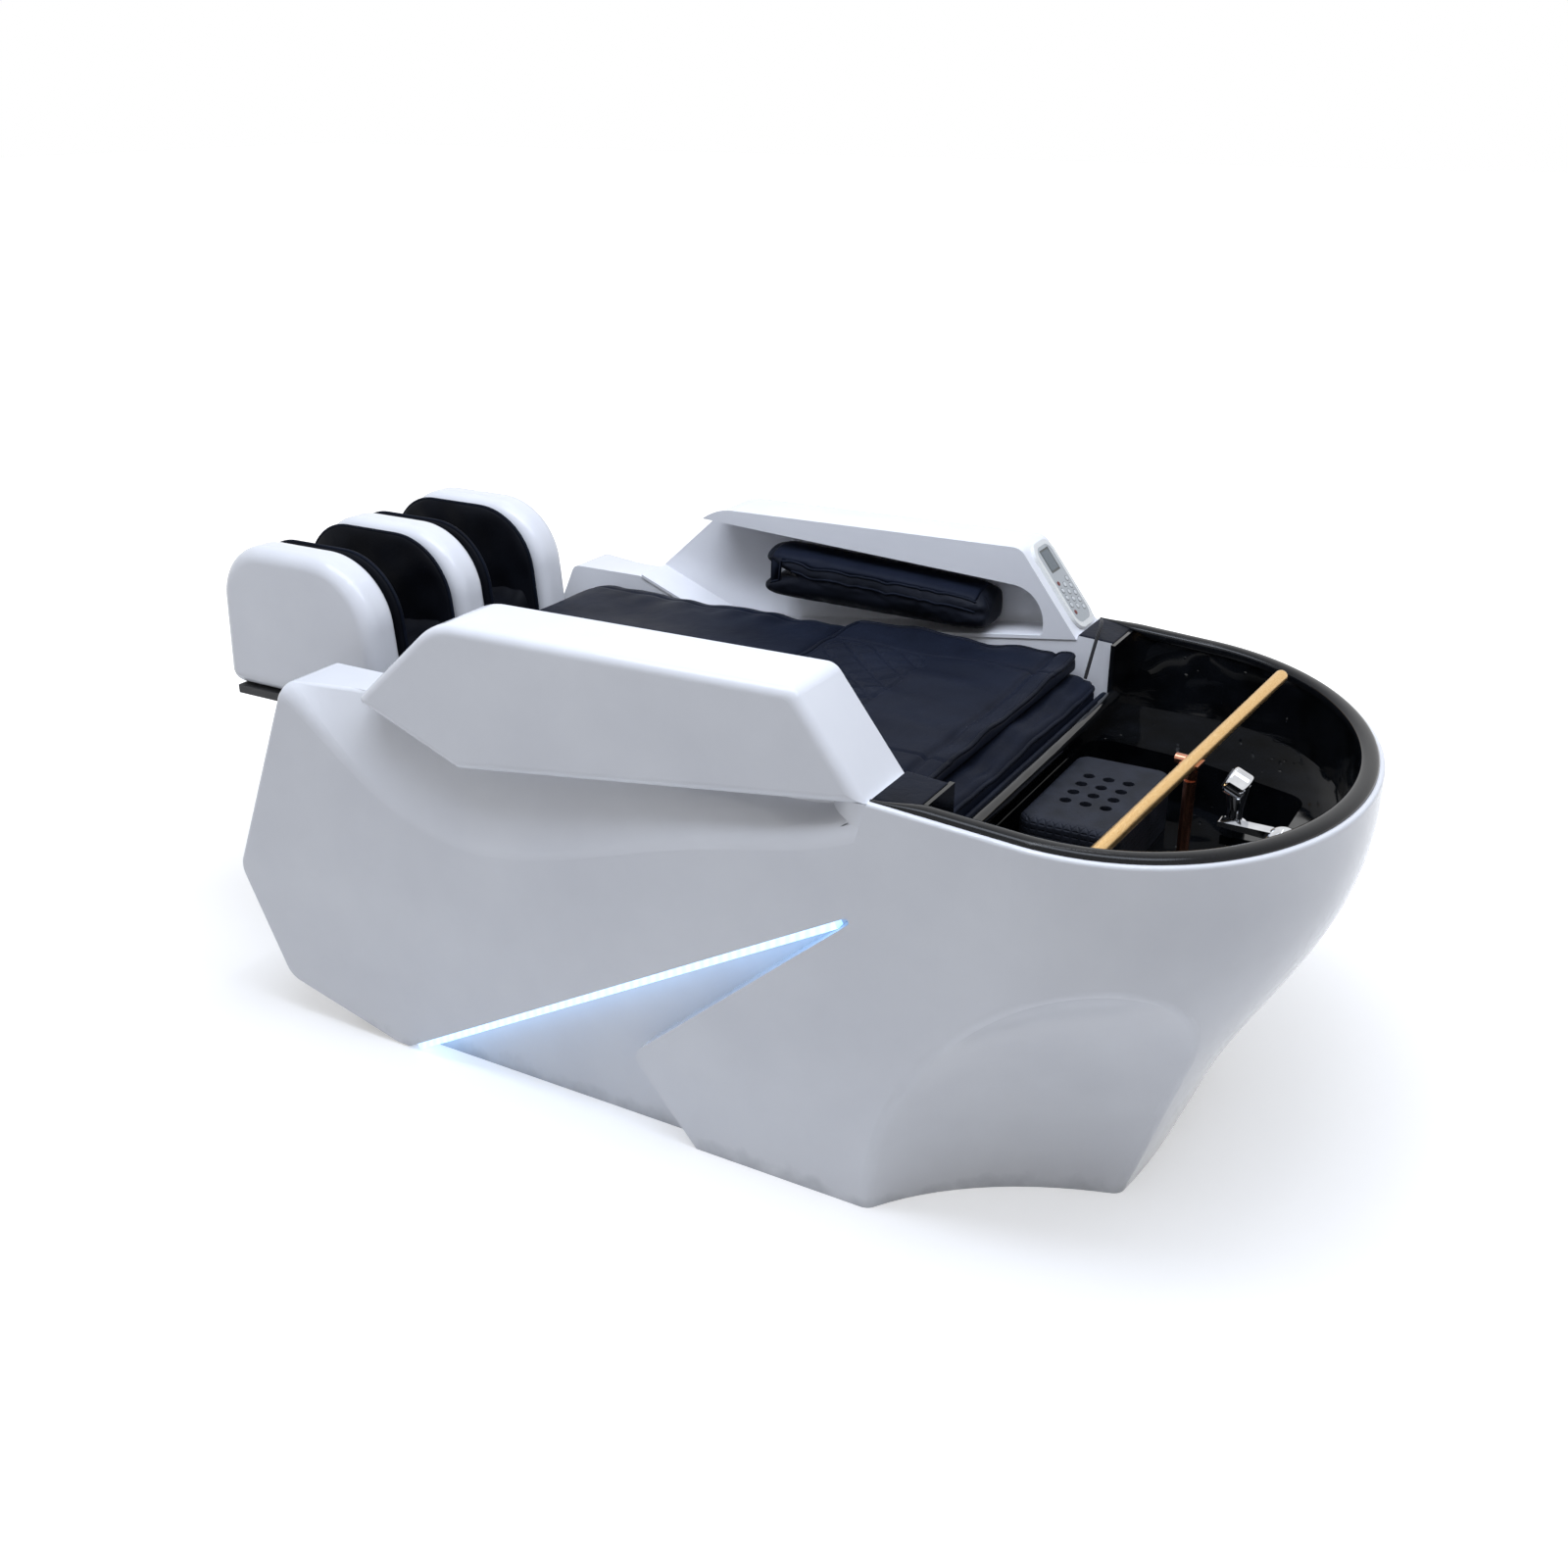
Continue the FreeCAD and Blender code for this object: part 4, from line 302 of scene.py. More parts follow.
def plain(name, dark, light, rough, size_mm, height_mm, values=None):
    """A moulded, coated or plated surface: colour, roughness and relief follow one grain of a real size."""
    material, tree, shader, place = new_material(name, values or {})
    grain = mottle(tree, place, size_mm, 4.0)
    tint = add(tree, "ShaderNodeValToRGB", {"Fac": grain.outputs["Fac"]}, stops=[(0.3, dark), (0.7, light)])
    broad = mottle(tree, place, size_mm * 9, 3.0)
    sheen = add(tree, "ShaderNodeMapRange", {"Value": broad.outputs["Fac"]},
                {"To Min": rough[0], "To Max": rough[1]})
    skin = add(tree, "ShaderNodeBump", {"Height": grain.outputs["Fac"]}, {"Distance": height_mm * MM})
    connect(tree, shader, Base_Color=tint.outputs["Color"], Roughness=sheen.outputs["Result"],
            Normal=skin.outputs["Normal"])
    return material


def leather(name, dark, light, grain_mm, crease_mm, rough):
    """Coated upholstery leather: pebbled grain, shallow creases, duller where it is rubbed."""
    material, tree, shader, place = new_material(name, {"IOR": 1.45, "Specular IOR Level": 0.05})
    cloud = mottle(tree, place, 90, 5.0)
    tint = add(tree, "ShaderNodeValToRGB", {"Fac": cloud.outputs["Fac"]}, stops=[(0.3, dark), (0.72, light)])
    rubbed = mottle(tree, place, 40, 4.0)
    dull = add(tree, "ShaderNodeMapRange", {"Value": rubbed.outputs["Fac"]},
               {"To Min": rough[0], "To Max": rough[1]})
    pebble = add(tree, "ShaderNodeTexVoronoi", {"Vector": place}, {"Scale": waves(grain_mm)},
                 feature="SMOOTH_F1")
    grain = add(tree, "ShaderNodeBump", {"Height": pebble.outputs["Distance"]}, {"Distance": 0.12 * MM},
                invert=True)
    crease = add(tree, "ShaderNodeTexNoise", {"Vector": place},
                 {"Scale": waves(crease_mm), "Detail": 3.0, "Distortion": 1.2})
    skin = add(tree, "ShaderNodeBump", {"Height": crease.outputs["Fac"], "Normal": grain.outputs["Normal"]},
               {"Distance": 1.4 * MM, "Strength": 0.5})
    connect(tree, shader, Base_Color=tint.outputs["Color"], Roughness=dull.outputs["Result"],
            Normal=skin.outputs["Normal"])
    return material


def headrest_rubber():
    """Moulded rubber with a raised lozenge pattern 9 mm apart and a matt, slightly dusty skin."""
    material, tree, shader, place = new_material("black_rubber_embossed", {"Specular IOR Level": 0.12})
    turned = add(tree, "ShaderNodeMapping", {"Vector": place}, {"Rotation": (0.0, 0.0, math.radians(45))})
    lozenge = add(tree, "ShaderNodeTexVoronoi", {"Vector": turned.outputs[0]},
                  {"Scale": waves(9), "Randomness": 0.0}, distance="CHEBYCHEV")
    stud = add(tree, "ShaderNodeMapRange", {"Value": lozenge.outputs["Distance"]},
               {"From Min": 0.28, "From Max": 0.46, "To Min": 1.0, "To Max": 0.0})
    skin = add(tree, "ShaderNodeBump", {"Height": stud.outputs["Result"]}, {"Distance": 0.8 * MM})
    dust = mottle(tree, place, 35, 6.0)
    tint = add(tree, "ShaderNodeValToRGB", {"Fac": dust.outputs["Fac"]},
               stops=[(0.35, "#1B1E25"), (0.7, "#2A2D36")])
    dull = add(tree, "ShaderNodeMapRange", {"Value": dust.outputs["Fac"]}, {"To Min": 0.45, "To Max": 0.62})
    connect(tree, shader, Base_Color=tint.outputs["Color"], Roughness=dull.outputs["Result"],
            Normal=skin.outputs["Normal"])
    return material


def brushed(name, dark, light, rough, stretch):
    """Metal with fine lines along one direction, drawn 0.8 mm apart so that they show."""
    material, tree, shader, place = new_material(name, {"Metallic": 1.0})
    run = add(tree, "ShaderNodeMapping", {"Vector": place}, {"Scale": stretch})
    lines = mottle(tree, run.outputs[0], 0.8, 3.0)
    tint = add(tree, "ShaderNodeValToRGB", {"Fac": lines.outputs["Fac"]}, stops=[(0.3, dark), (0.7, light)])
    satin = add(tree, "ShaderNodeMapRange", {"Value": lines.outputs["Fac"]},
                {"To Min": rough[0], "To Max": rough[1]})
    skin = add(tree, "ShaderNodeBump", {"Height": lines.outputs["Fac"]}, {"Distance": 0.02 * MM})
    connect(tree, shader, Base_Color=tint.outputs["Color"], Roughness=satin.outputs["Result"],
            Normal=skin.outputs["Normal"])
    return material


def diffuser():
    """Opal acrylic cover of the light strip: bluish-white light with the lamps 8 mm apart showing faintly."""
    material, tree, shader, place = new_material(
        "opal_acrylic_lit",
        {"IOR": 1.49, "Roughness": 0.35, "Base Color": linear("#EAF4FF"), "Emission Strength": 1.7})
    lamps = add(tree, "ShaderNodeTexWave", {"Vector": place}, {"Scale": waves(8) / (2 * math.pi)})
    glow = add(tree, "ShaderNodeValToRGB", {"Fac": lamps.outputs["Fac"]},
               stops=[(0.0, "#86BEFF"), (1.0, "#A8D4FF")])
    connect(tree, shader, Emission_Color=glow.outputs["Color"])
    return material


def webbing():
    """Woven black strap: ribs across it, 1.6 mm apart so that they show."""
    material, tree, shader, place = new_material(
        "black_polyester_woven", {"Roughness": 0.7, "Sheen Weight": 0.1})
    ribs = add(tree, "ShaderNodeTexWave", {"Vector": place},
               {"Scale": waves(1.6) / (2 * math.pi), "Distortion": 1.0}, bands_direction="DIAGONAL")
    tint = add(tree, "ShaderNodeValToRGB", {"Fac": ribs.outputs["Fac"]},
               stops=[(0.2, "#0C0D10"), (0.8, "#1C1E24")])
    skin = add(tree, "ShaderNodeBump", {"Height": ribs.outputs["Fac"]}, {"Distance": 0.25 * MM})
    connect(tree, shader, Base_Color=tint.outputs["Color"], Normal=skin.outputs["Normal"])
    return material


WHITE_SHELL = gelcoat()
BASIN = basin_acrylic()
LEATHER = leather("navy_leather_coated", "#131722", "#1A1F2C", 2.6, 55, (0.38, 0.56))
PIPING = leather("navy_leather_piping", "#10131B", "#191E2A", 2.0, 25, (0.34, 0.5))
SLEEVE_CLOTH = leather("black_coated_cloth", "#14161B", "#1F222B", 1.6, 38, (0.3, 0.5))
CALF_LEATHER = leather("black_soft_leather", "#0C0D11", "#15171D", 2.2, 45, (0.4, 0.58))
RUBBER_BLOCK = headrest_rubber()
TRIM = plain("black_vinyl_extruded", "#0B0C0F", "#15171B", (0.08, 0.2), 3.5, 0.03,
             {"Specular IOR Level": 0.24})
GOLD = brushed("champagne_aluminium_anodised", "#D8AE72", "#ECCB96", (0.28, 0.4), (1.0, 0.05, 1.0))
COPPER = brushed("rose_copper_turned", "#A8705A", "#C98F75", (0.2, 0.3), (0.1, 1.0, 1.0))
CHROME = plain("chrome_plated_polished", "#C9CBD0", "#DDDFE3", (0.03, 0.09), 18, 0.03, {"Metallic": 1.0})
HOSE = plain("black_rubber_hose", "#0B0C0E", "#17181B", (0.28, 0.45), 2.5, 0.06)
LIGHT = diffuser()
STRAP = webbing()
POWDER = plain("black_powder_coat", "#191A1C", "#262729", (0.45, 0.6), 2.4, 0.12)
STEEL = brushed("steel_ground", "#86898E", "#A9ACB1", (0.24, 0.38), (0.05, 1.0, 1.0))
NYLON = plain("grey_nylon_moulded", "#232427", "#303236", (0.42, 0.55), 2.0, 0.05)
ROLLER = plain("black_rubber_moulded", "#131416", "#202124", (0.5, 0.68), 2.2, 0.08)
CASE = plain("grey_abs_textured", "#33353A", "#42454A", (0.42, 0.56), 1.6, 0.1)
WASTE_PIPE = plain("grey_pvc_extruded", "#84868A", "#9C9EA2", (0.3, 0.42), 6.0, 0.04)
TRAY = plain("black_abs_textured", "#101113", "#1C1D20", (0.5, 0.66), 1.8, 0.12)
BEZEL = plain("white_abs_moulded", "#D9DAD7", "#E6E7E4", (0.25, 0.36), 2.0, 0.03)
OVERLAY = plain("grey_polyester_overlay", "#A3A7A9", "#B3B7B8", (0.36, 0.48), 1.2, 0.03)
SCREEN = plain("dark_acrylic_window", "#3A3F3F", "#474D4C", (0.1, 0.18), 9.0, 0.01)
DISPLAY = plain("grey_liquid_crystal", "#515C63", "#5D686F", (0.2, 0.28), 3.0, 0.01)
KEY = plain("light_grey_key_moulded", "#C3C6C7", "#D2D5D6", (0.34, 0.46), 1.2, 0.03)
RING_INK = plain("grey_ink_printed", "#2A2C2E", "#363839", (0.4, 0.5), 1.0, 0.005)
RED_KEY = plain("red_key_moulded", "#5A1613", "#701E19", (0.34, 0.46), 1.2, 0.03)

FINISHES = {
    WHITE_SHELL: ["outer_hull", "left_armrest_shell", "right_armrest_shell", "left_leg_fin", "middle_leg_fin",
                  "right_leg_fin"],
    BASIN: ["wash_basin"],
    TRIM: ["basin_rim_trim", "handset_holder"],
    LIGHT: ["light_strips"],
    RUBBER_BLOCK: ["headrest_block"],
    GOLD: ["spray_bar"],
    COPPER: ["spray_bar_union", "spray_bar_stem"],
    CHROME: ["drain_strainer", "mixer_base", "mixer_stem", "mixer_lever", "shower_handset"],
    NYLON: ["handset_spray_face", "levelling_feet", "massage_carriage"],
    BEZEL: ["keypad_bezel"],
    OVERLAY: ["keypad_overlay"],
    SCREEN: ["keypad_screen"],
    KEY: [f"keypad_button_{n:02d}" for n in range(1, 15) if n not in (1, 5)],
    RED_KEY: ["keypad_button_01", "keypad_button_05"],
    POWDER: ["base_frame", "leg_hinge_brackets"],
    STEEL: ["lead_screw", "kneading_shaft", "leg_hinge_pin", "supply_tails", "water_heater"],
    ROLLER: ["kneading_rollers"],
    CASE: ["control_box", "air_pump"],
    WASTE_PIPE: ["drain_trap"],
    TRAY: ["leg_tray"],
}
for finish, names in FINISHES.items():
    for name in names:
        nodes[name].data.materials.clear()
        nodes[name].data.materials.append(finish)


# Cushions

def seat_relief(x, y):
    """Seat top: a low crown, broad dents from use, a sewn line along each side and soft puckers beside it."""
    side_line = 0.262
    crown = -0.004 * (y / 0.3) ** 2
    dents = 0.0016 * noise(x * 4.0, y * 4.0, 3)
    side = np.abs(np.abs(y) - side_line)
    pucker = 0.0022 * noise(x * 16.0, y * 3.0, 8) * groove(side - 0.02, 0.03)
    drop = -0.012 * np.clip((np.abs(y) - side_line) / 0.06, 0, 1) ** 1.5
    foot = -0.014 * np.clip((-0.50 - x) / 0.066, 0, 1) ** 1.6
    return crown + dents + pucker + drop + foot - 0.0035 * groove(side, 0.004)


def back_relief(x, y):
    """Back cushion top: rolled and wavy towards the head end, with a shallow fold before it."""
    wave = 0.004 * noise(y * 5.0, x * 2.0, 21) * np.clip((x - 0.33) / 0.1, 0, 1)
    fold = -0.006 * groove(x - 0.432, 0.008)
    return wave + fold - 0.004


QUILT_BORDER = 0.006


def quilted(x, y):
    """Share of the quilted band: 1 inside the sewn field of the pad with rounded corners, 0 outside."""
    middle_x, half_length, half_width, corner = 0.112, 0.045, 0.150, 0.050
    reach = np.maximum(np.abs(x - middle_x) - half_length, 0)
    aside = np.maximum(np.abs(y) - half_width, 0)
    return np.clip((corner - np.hypot(reach, aside)) / QUILT_BORDER, 0, 1)


def pad_relief(x, y):
    """Overlay pad: sewn side lines, a field quilted in diamonds 40 mm apart, rolls along the head end."""
    pitch, line_width = 0.040, 0.0045
    side = np.abs(np.abs(y) - 0.205)
    lozenge_a = np.abs((x + y) / math.sqrt(2) / pitch % 1 - 0.5) * pitch
    lozenge_b = np.abs((x - y) / math.sqrt(2) / pitch % 1 - 0.5) * pitch
    lines = np.maximum(groove(pitch / 2 - lozenge_a, line_width), groove(pitch / 2 - lozenge_b, line_width))
    field = quilted(x, y)
    rim_line = groove(np.abs(field - 0.5) * QUILT_BORDER, 0.002)
    quilt = field * (0.0015 - 0.0045 * lines)
    wave = 0.0022 * noise(x * 5.0, y * 5.0, 5)
    edge_wave = 0.005 * noise(x * 3.0, y * 6.0, 9) * np.clip((x - 0.30) / 0.11, 0, 1)
    far_wave = 0.004 * noise(x * 7.0, y * 2.0, 11) * np.clip((np.abs(y) - 0.25) / 0.06, 0, 1)
    roll = -0.006 * groove(x - 0.376, 0.006)
    sewn = 0.003 * rim_line + 0.003 * groove(side, 0.0035)
    return quilt - sewn + wave + edge_wave + far_wave + roll - 0.003


def top_of(box, edge, seam_share, relief, square=2.4):
    """Height of a cushion's upper sheet over a plan place, as in cushion()."""
    (x0, x1), (y0, y1), (z0, z1) = box

    def height(x, y):
        across = np.clip((np.abs(x - (x0 + x1) / 2) - (x1 - x0) / 2 + edge) / edge, 0, 1)
        along = np.clip((np.abs(y - (y0 + y1) / 2) - (y1 - y0) / 2 + edge) / edge, 0, 1)
        rise = (1 - np.minimum(np.hypot(across, along), 1) ** square) ** (1 / square)
        seam = z0 + seam_share * (z1 - z0)
        return seam + (z1 - seam) * rise + relief(x, y) * rise

    return height


def shown_box(node, shrink=0.0):
    """Ranges of a CAD node in x, y and z, drawn in by a margin."""
    low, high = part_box(node)
    return [(low[i] + shrink, high[i] - shrink) for i in range(3)]


def soft_piece(piece, body, slot, fill, *replaced):
    """A padded piece that stands for CAD nodes, which it hides, and moves with a body."""
    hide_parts(*replaced)
    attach(piece, body)
    return piece


def trim_piece(piece, body):
    """A piece of trim that moves with a body."""
    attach(piece, body)
    return piece


def make_cushion(name, box, edge, seam_share, relief, spacing, welts):
    """A cushion with its piping: each welt is (inset, height above the upper sheet, radius)."""
    piece = mesh_object(name, cushion(box, edge, seam_share, relief, spacing), LEATHER)
    soft_piece(piece, "chassis", "leather", 0.8, name.removesuffix("_upholstered"))
    height = top_of(box, edge, seam_share, relief)
    for number, (inset, lift, radius) in enumerate(welts, start=1):
        line = rim(box, max(edge - inset, 0.006), inset, height, 420)
        line[:, 2] += lift
        welt = mesh_object(f"{name}_welt_{number}", [tube(line, radius, 8, True)], PIPING)
        trim_piece(welt, "chassis")
    return piece


seat_box = shown_box("seat_cushion")
back_box = shown_box("back_cushion")
pad_box = shown_box("back_pad")
make_cushion("seat_cushion_upholstered", seat_box, 0.034, 0.5, seat_relief, 0.0045, [(0.010, 0.0, 0.0032)])
make_cushion("back_cushion_upholstered", back_box, 0.034, 0.45, back_relief, 0.0045, [(0.0035, 0.0, 0.004)])
make_cushion("back_pad_upholstered", pad_box, 0.016, 0.35, pad_relief, 0.003, [(0.0045, 0.001, 0.0042)])


# Arm sleeves

def settled(piece, voxel, cap):
    """Let a padded skin settle under air: remesh it, run cloth frames with pressure and no gravity, and keep
    each point within a cap of its start."""
    frames = 20
    grid = piece.modifiers.new("even_grid", "REMESH")
    grid.mode = "VOXEL"
    grid.voxel_size = voxel
    shaped = bpy.data.meshes.new_from_object(piece.evaluated_get(bpy.context.evaluated_depsgraph_get()))
    piece.modifiers.remove(grid)
    shaped.shade_smooth()
    piece.data = shaped
    start = np.array([vertex.co for vertex in shaped.vertices])
    cloth = piece.modifiers.new("air", "CLOTH")
    cloth.settings.quality = 5
    cloth.settings.use_pressure = True
    cloth.settings.uniform_pressure_force = 4.0
    cloth.settings.shrink_min = -0.03
    cloth.settings.effector_weights.gravity = 0.0
    cloth.point_cache.frame_start = 1
    cloth.point_cache.frame_end = frames
    for frame_number in range(1, frames + 1):
        scene.frame_set(frame_number)
    swollen = piece.evaluated_get(bpy.context.evaluated_depsgraph_get()).data
    moved = np.array([vertex.co for vertex in swollen.vertices]) - start
    piece.modifiers.remove(cloth)
    scene.frame_set(1)
    length = np.linalg.norm(moved, axis=1)[:, None]
    place = start + moved * np.minimum(1, cap / np.maximum(length, 1e-9))
    shaped.vertices.foreach_set("co", place.ravel())
    shaped.update()


def sleeve_form(side, seed):
    """Air sleeve: superelliptic sections, |y/b|^n + |z/c|^n = 1, carried from foot to head and drawn in at
    both ends. Its front is creased along one line, as exp(-(dz/w)^2), and the crease opens to a mouth at
    the foot."""
    foot_x, length = -0.190, 0.430
    middle_y, half_depth = 0.353, 0.0505
    t = np.sin(np.linspace(-math.pi / 2, math.pi / 2, 150))[:, None]
    angle = np.linspace(0, 2 * math.pi, 150, endpoint=False)[None, :]
    share = (t + 1) / 2
    draw = (1 - np.abs(t) ** 10) ** 0.1
    front = np.sign(np.cos(angle)) * np.abs(np.cos(angle)) ** 0.5
    up = np.sign(np.sin(angle)) * np.abs(np.sin(angle)) ** 0.6
    # lower and upper lines, which fall towards the head end
    low = 0.6385 - 0.0045 * share ** 0.8
    high = 0.7235 - 0.0245 * share ** 0.8
    slope = 0.014 * np.clip(front, 0, 1) * np.clip(up, 0, 1)
    z = (low + high) / 2 + ((high - low) / 2 * up - slope) * draw
    off = z - (low + 0.50 * (high - low))
    mouth = np.exp(-(share / 0.10) ** 2)
    crease = np.exp(-(off / (0.0055 + 0.009 * mouth)) ** 2)
    gather = noise(angle * 1.6 + 0 * t, t * 0.8, seed) * np.abs(t) ** 6
    fold = noise(t * 3.5, np.sin(angle) * 0.4, seed + 1)
    depth = middle_y - half_depth * front * draw * (1 - 0.03 * np.abs(gather) - 0.012 * np.abs(fold))
    depth = depth + np.clip(front, 0, 1) ** 0.5 * crease * (0.008 + 0.022 * mouth) * draw
    x = foot_x + length * share + 0.046 * np.exp(-(off / 0.012) ** 2 - (share / 0.12) ** 2)
    return np.stack([x + 0 * angle, side * depth, z], -1), False, True


def sleeve_panel(name, side, skin):
    """Sewn top panel and two lines of piping, laid on the settled sleeve by rays from above and in front."""
    rows, columns = 90, 24
    above, missed_z = 0.8, 0.66
    front_y, missed_y, chin_drop = 0.2, 0.31, 0.017
    proud, sunk = 0.0022, 0.0008
    x = np.linspace(-0.176, 0.226, rows)
    depth = np.linspace(0.312, 0.396, columns)
    tops = np.zeros((x.size, depth.size))
    for row, column in np.ndindex(tops.shape):
        spot = skin.ray_cast((x[row], side * depth[column], above), (0.0, 0.0, -1.0))[0]
        tops[row, column] = spot[2] if spot else missed_z
    edge = np.minimum(1, np.minimum(np.arange(rows), np.arange(rows)[::-1])[:, None] / 3)
    edge = edge * np.minimum(1, np.minimum(np.arange(columns), np.arange(columns)[::-1])[None, :] / 2)
    plan = np.stack(np.broadcast_arrays(x[:, None], side * depth[None, :]), -1)
    upper = np.concatenate([plan, (tops + proud * np.sqrt(edge))[..., None]], -1)
    lower = np.concatenate([plan, (tops - sunk * np.sqrt(edge))[..., None]], -1)
    panel = mesh_object(f"{name}_sleeve_panel", [(upper, False, False), (lower, False, False)], LEATHER)
    trim_piece(panel, "chassis")
    brow = np.column_stack([x, np.full(x.size, side * depth[0]), tops[:, 0] + 0.0006])
    chin = []
    for spot in brow[x > -0.135]:
        hit = skin.ray_cast((spot[0], side * front_y, spot[2] - chin_drop), (0.0, side, 0.0))[0]
        chin.append((spot[0], hit[1] if hit else side * missed_y, spot[2] - chin_drop))
    lines = [tube(brow, 0.0024, 8), tube(np.array(chin), 0.0022, 8)]
    trim_piece(mesh_object(f"{name}_sleeve_piping", lines, PIPING), "chassis")


def sleeve(name, side, seed):
    """Arm sleeve with its panel and piping."""
    piece = mesh_object(f"{name}_sleeve", [sleeve_form(side, seed)], SLEEVE_CLOTH)
    settled(piece, 0.0045, 0.005)
    soft_piece(piece, "chassis", "airbag_cloth", 0.8, f"{name}_arm_airbags")
    skin = BVHTree.FromPolygons([tuple(vertex.co) for vertex in piece.data.vertices],
                                [tuple(polygon.vertices) for polygon in piece.data.polygons])
    sleeve_panel(name, side, skin)
    smooth = piece.modifiers.new("smooth", "SUBSURF")
    smooth.levels = smooth.render_levels = 1


sleeve("left", -1, 31)
sleeve("right", 1, 47)


# Calf troughs

WALL_Y = 0.0620
RIM_POINTS = 240


def fin_line(inset, count):
    """Side outline of a trough's padded wall, as x and z: the fin's outline drawn in by an inset."""
    bottom, top = 0.516, 0.771
    corners = [(-0.955 + inset, bottom), (-0.940 + inset, top - inset), (-0.614 - inset, top - inset),
               (-0.592 - inset, bottom)]
    flat = round_outline(corners, [0.020, 0.105 - inset, 0.125 - inset, 0.020], 20)
    return resample(np.column_stack([flat, np.zeros(len(flat))]), count, True)[:, :2]


def trough_wall(centre_y, side, seed):
    """Padded wall of a trough: rings of its outline shrink to a middle point, and the thickness swells as
    sqrt(1 - r^6) from the rim with sewn puckers along it."""
    outline = fin_line(0.008, RIM_POINTS)
    middle = np.array([-0.775, 0.636])
    roll = 1 - 0.1 * np.cos(np.linspace(0, math.pi / 2, 10))
    ring = np.concatenate([np.linspace(0.0, 0.9, 22)[1:], roll[1:]])[:, None]
    x = middle[0] + (outline[None, :, 0] - middle[0]) * ring
    z = middle[1] + (outline[None, :, 1] - middle[1]) * ring
    swell = np.sqrt(np.clip(1 - ring ** 6, 0, 1))
    ripple = 0.0022 * noise(x * 7.0, z * 7.0, seed) * np.clip(ring * 1.5, 0, 1)
    inner_y = WALL_Y - 0.0130 * swell + ripple * swell
    outer_y = WALL_Y + 0.0155 * swell
    sheets = []
    for depth in (inner_y, outer_y):
        sheet = np.stack([x, centre_y + side * depth + 0 * x, z], -1)
        pole = np.array([middle[0], centre_y + side * depth[0].mean(), middle[1]])
        pole = np.broadcast_to(pole, (1, RIM_POINTS, 3))
        sheets.append((np.concatenate([pole, sheet]), False, True))
    return sheets


def trough_floor(centre_y, seed):
    """Trough floor: a sheet over x and y that curls up to the walls as an arc of 42 mm and rolls down at both
    ends, with creases across it, closed by a flat underside."""
    half_width, flat_half_width, curl_width = 0.0590, 0.0172, 0.042
    middle_x, half_length, end_roll = -0.7735, 0.1605, 0.03
    x = stations(-0.934, -0.613, end_roll, 0.004, 9)[:, None]
    y = np.linspace(-half_width, half_width, 52)[None, :]
    curl = np.clip((np.abs(y) - flat_half_width) / curl_width, 0, 1)
    rise = 0.038 * (1 - np.sqrt(1 - 0.97 * curl ** 2))
    away = np.clip((np.abs(x - middle_x) - half_length + end_roll) / end_roll, 0, 1)
    roll = np.sqrt(1 - away ** 2)
    crease = 0.0045 * noise(x * 13.0, y * 3.0, seed) * (1 - 0.5 * curl)
    z = 0.530 + (0.070 + rise + crease) * roll
    top = np.stack([x + 0 * y, centre_y + y + 0 * x, z], -1)
    under = np.stack([x + 0 * y, centre_y + y + 0 * x, np.full(z.shape, 0.528)], -1)
    band = np.stack([np.concatenate([top[:, 0], top[-1, 1:], top[-2::-1, -1], top[0, -2:0:-1]]),
                     np.concatenate([under[:, 0], under[-1, 1:], under[-2::-1, -1], under[0, -2:0:-1]])])
    return [(top, False, False), (under, False, False), (band, False, True)]


def trough(name, centre_y, seed):
    """Padded liner of one calf trough with piping round the rims of its walls."""
    walls = trough_wall(centre_y, -1, seed) + trough_wall(centre_y, 1, seed + 1)
    patches = walls + trough_floor(centre_y, seed + 2)
    piece = mesh_object(f"{name}_calf_trough", patches, CALF_LEATHER)
    soft_piece(piece, "leg_rest", "leather", 0.7, f"{name}_calf_liner")
    welts = []
    for side in (-1, 1):
        line = fin_line(0.0085, 300)
        path = np.column_stack([line[:, 0], np.full(len(line), centre_y + side * WALL_Y), line[:, 1]])
        welts.append(hoop(path, 0.0032))
    trim_piece(mesh_object(f"{name}_calf_welts", welts, PIPING), "leg_rest")


def hoop(path, radius, sides=8):
    """Round profile carried round a closed path in an upright plane along x, with y across it."""
    ahead = np.roll(path, -1, 0) - np.roll(path, 1, 0)
    ahead /= np.linalg.norm(ahead, axis=1)[:, None]
    across = np.array([0.0, 1.0, 0.0])
    out = np.cross(ahead, across)
    angle = np.linspace(0, 2 * math.pi, sides, endpoint=False)
    ring = np.cos(angle)[None, :, None] * out[:, None] + np.sin(angle)[None, :, None] * across
    return path[:, None] + radius * ring, True, True


trough("left", -0.116, 61)
trough("right", 0.116, 71)


# Rolled lip of the basin, shoulder flaps, neck bead and closing fillets of the armrests

LIP_START = 0.4045
LIP_SIDE = 0.4285
LIP_GROWTH = 0.0215


def deck_level(x):
    """Height of the shell's top round the basin, which falls 39 mm over 551 mm towards the head end."""
    return 0.6484 - 0.039 / 0.551 * (x - 0.404)


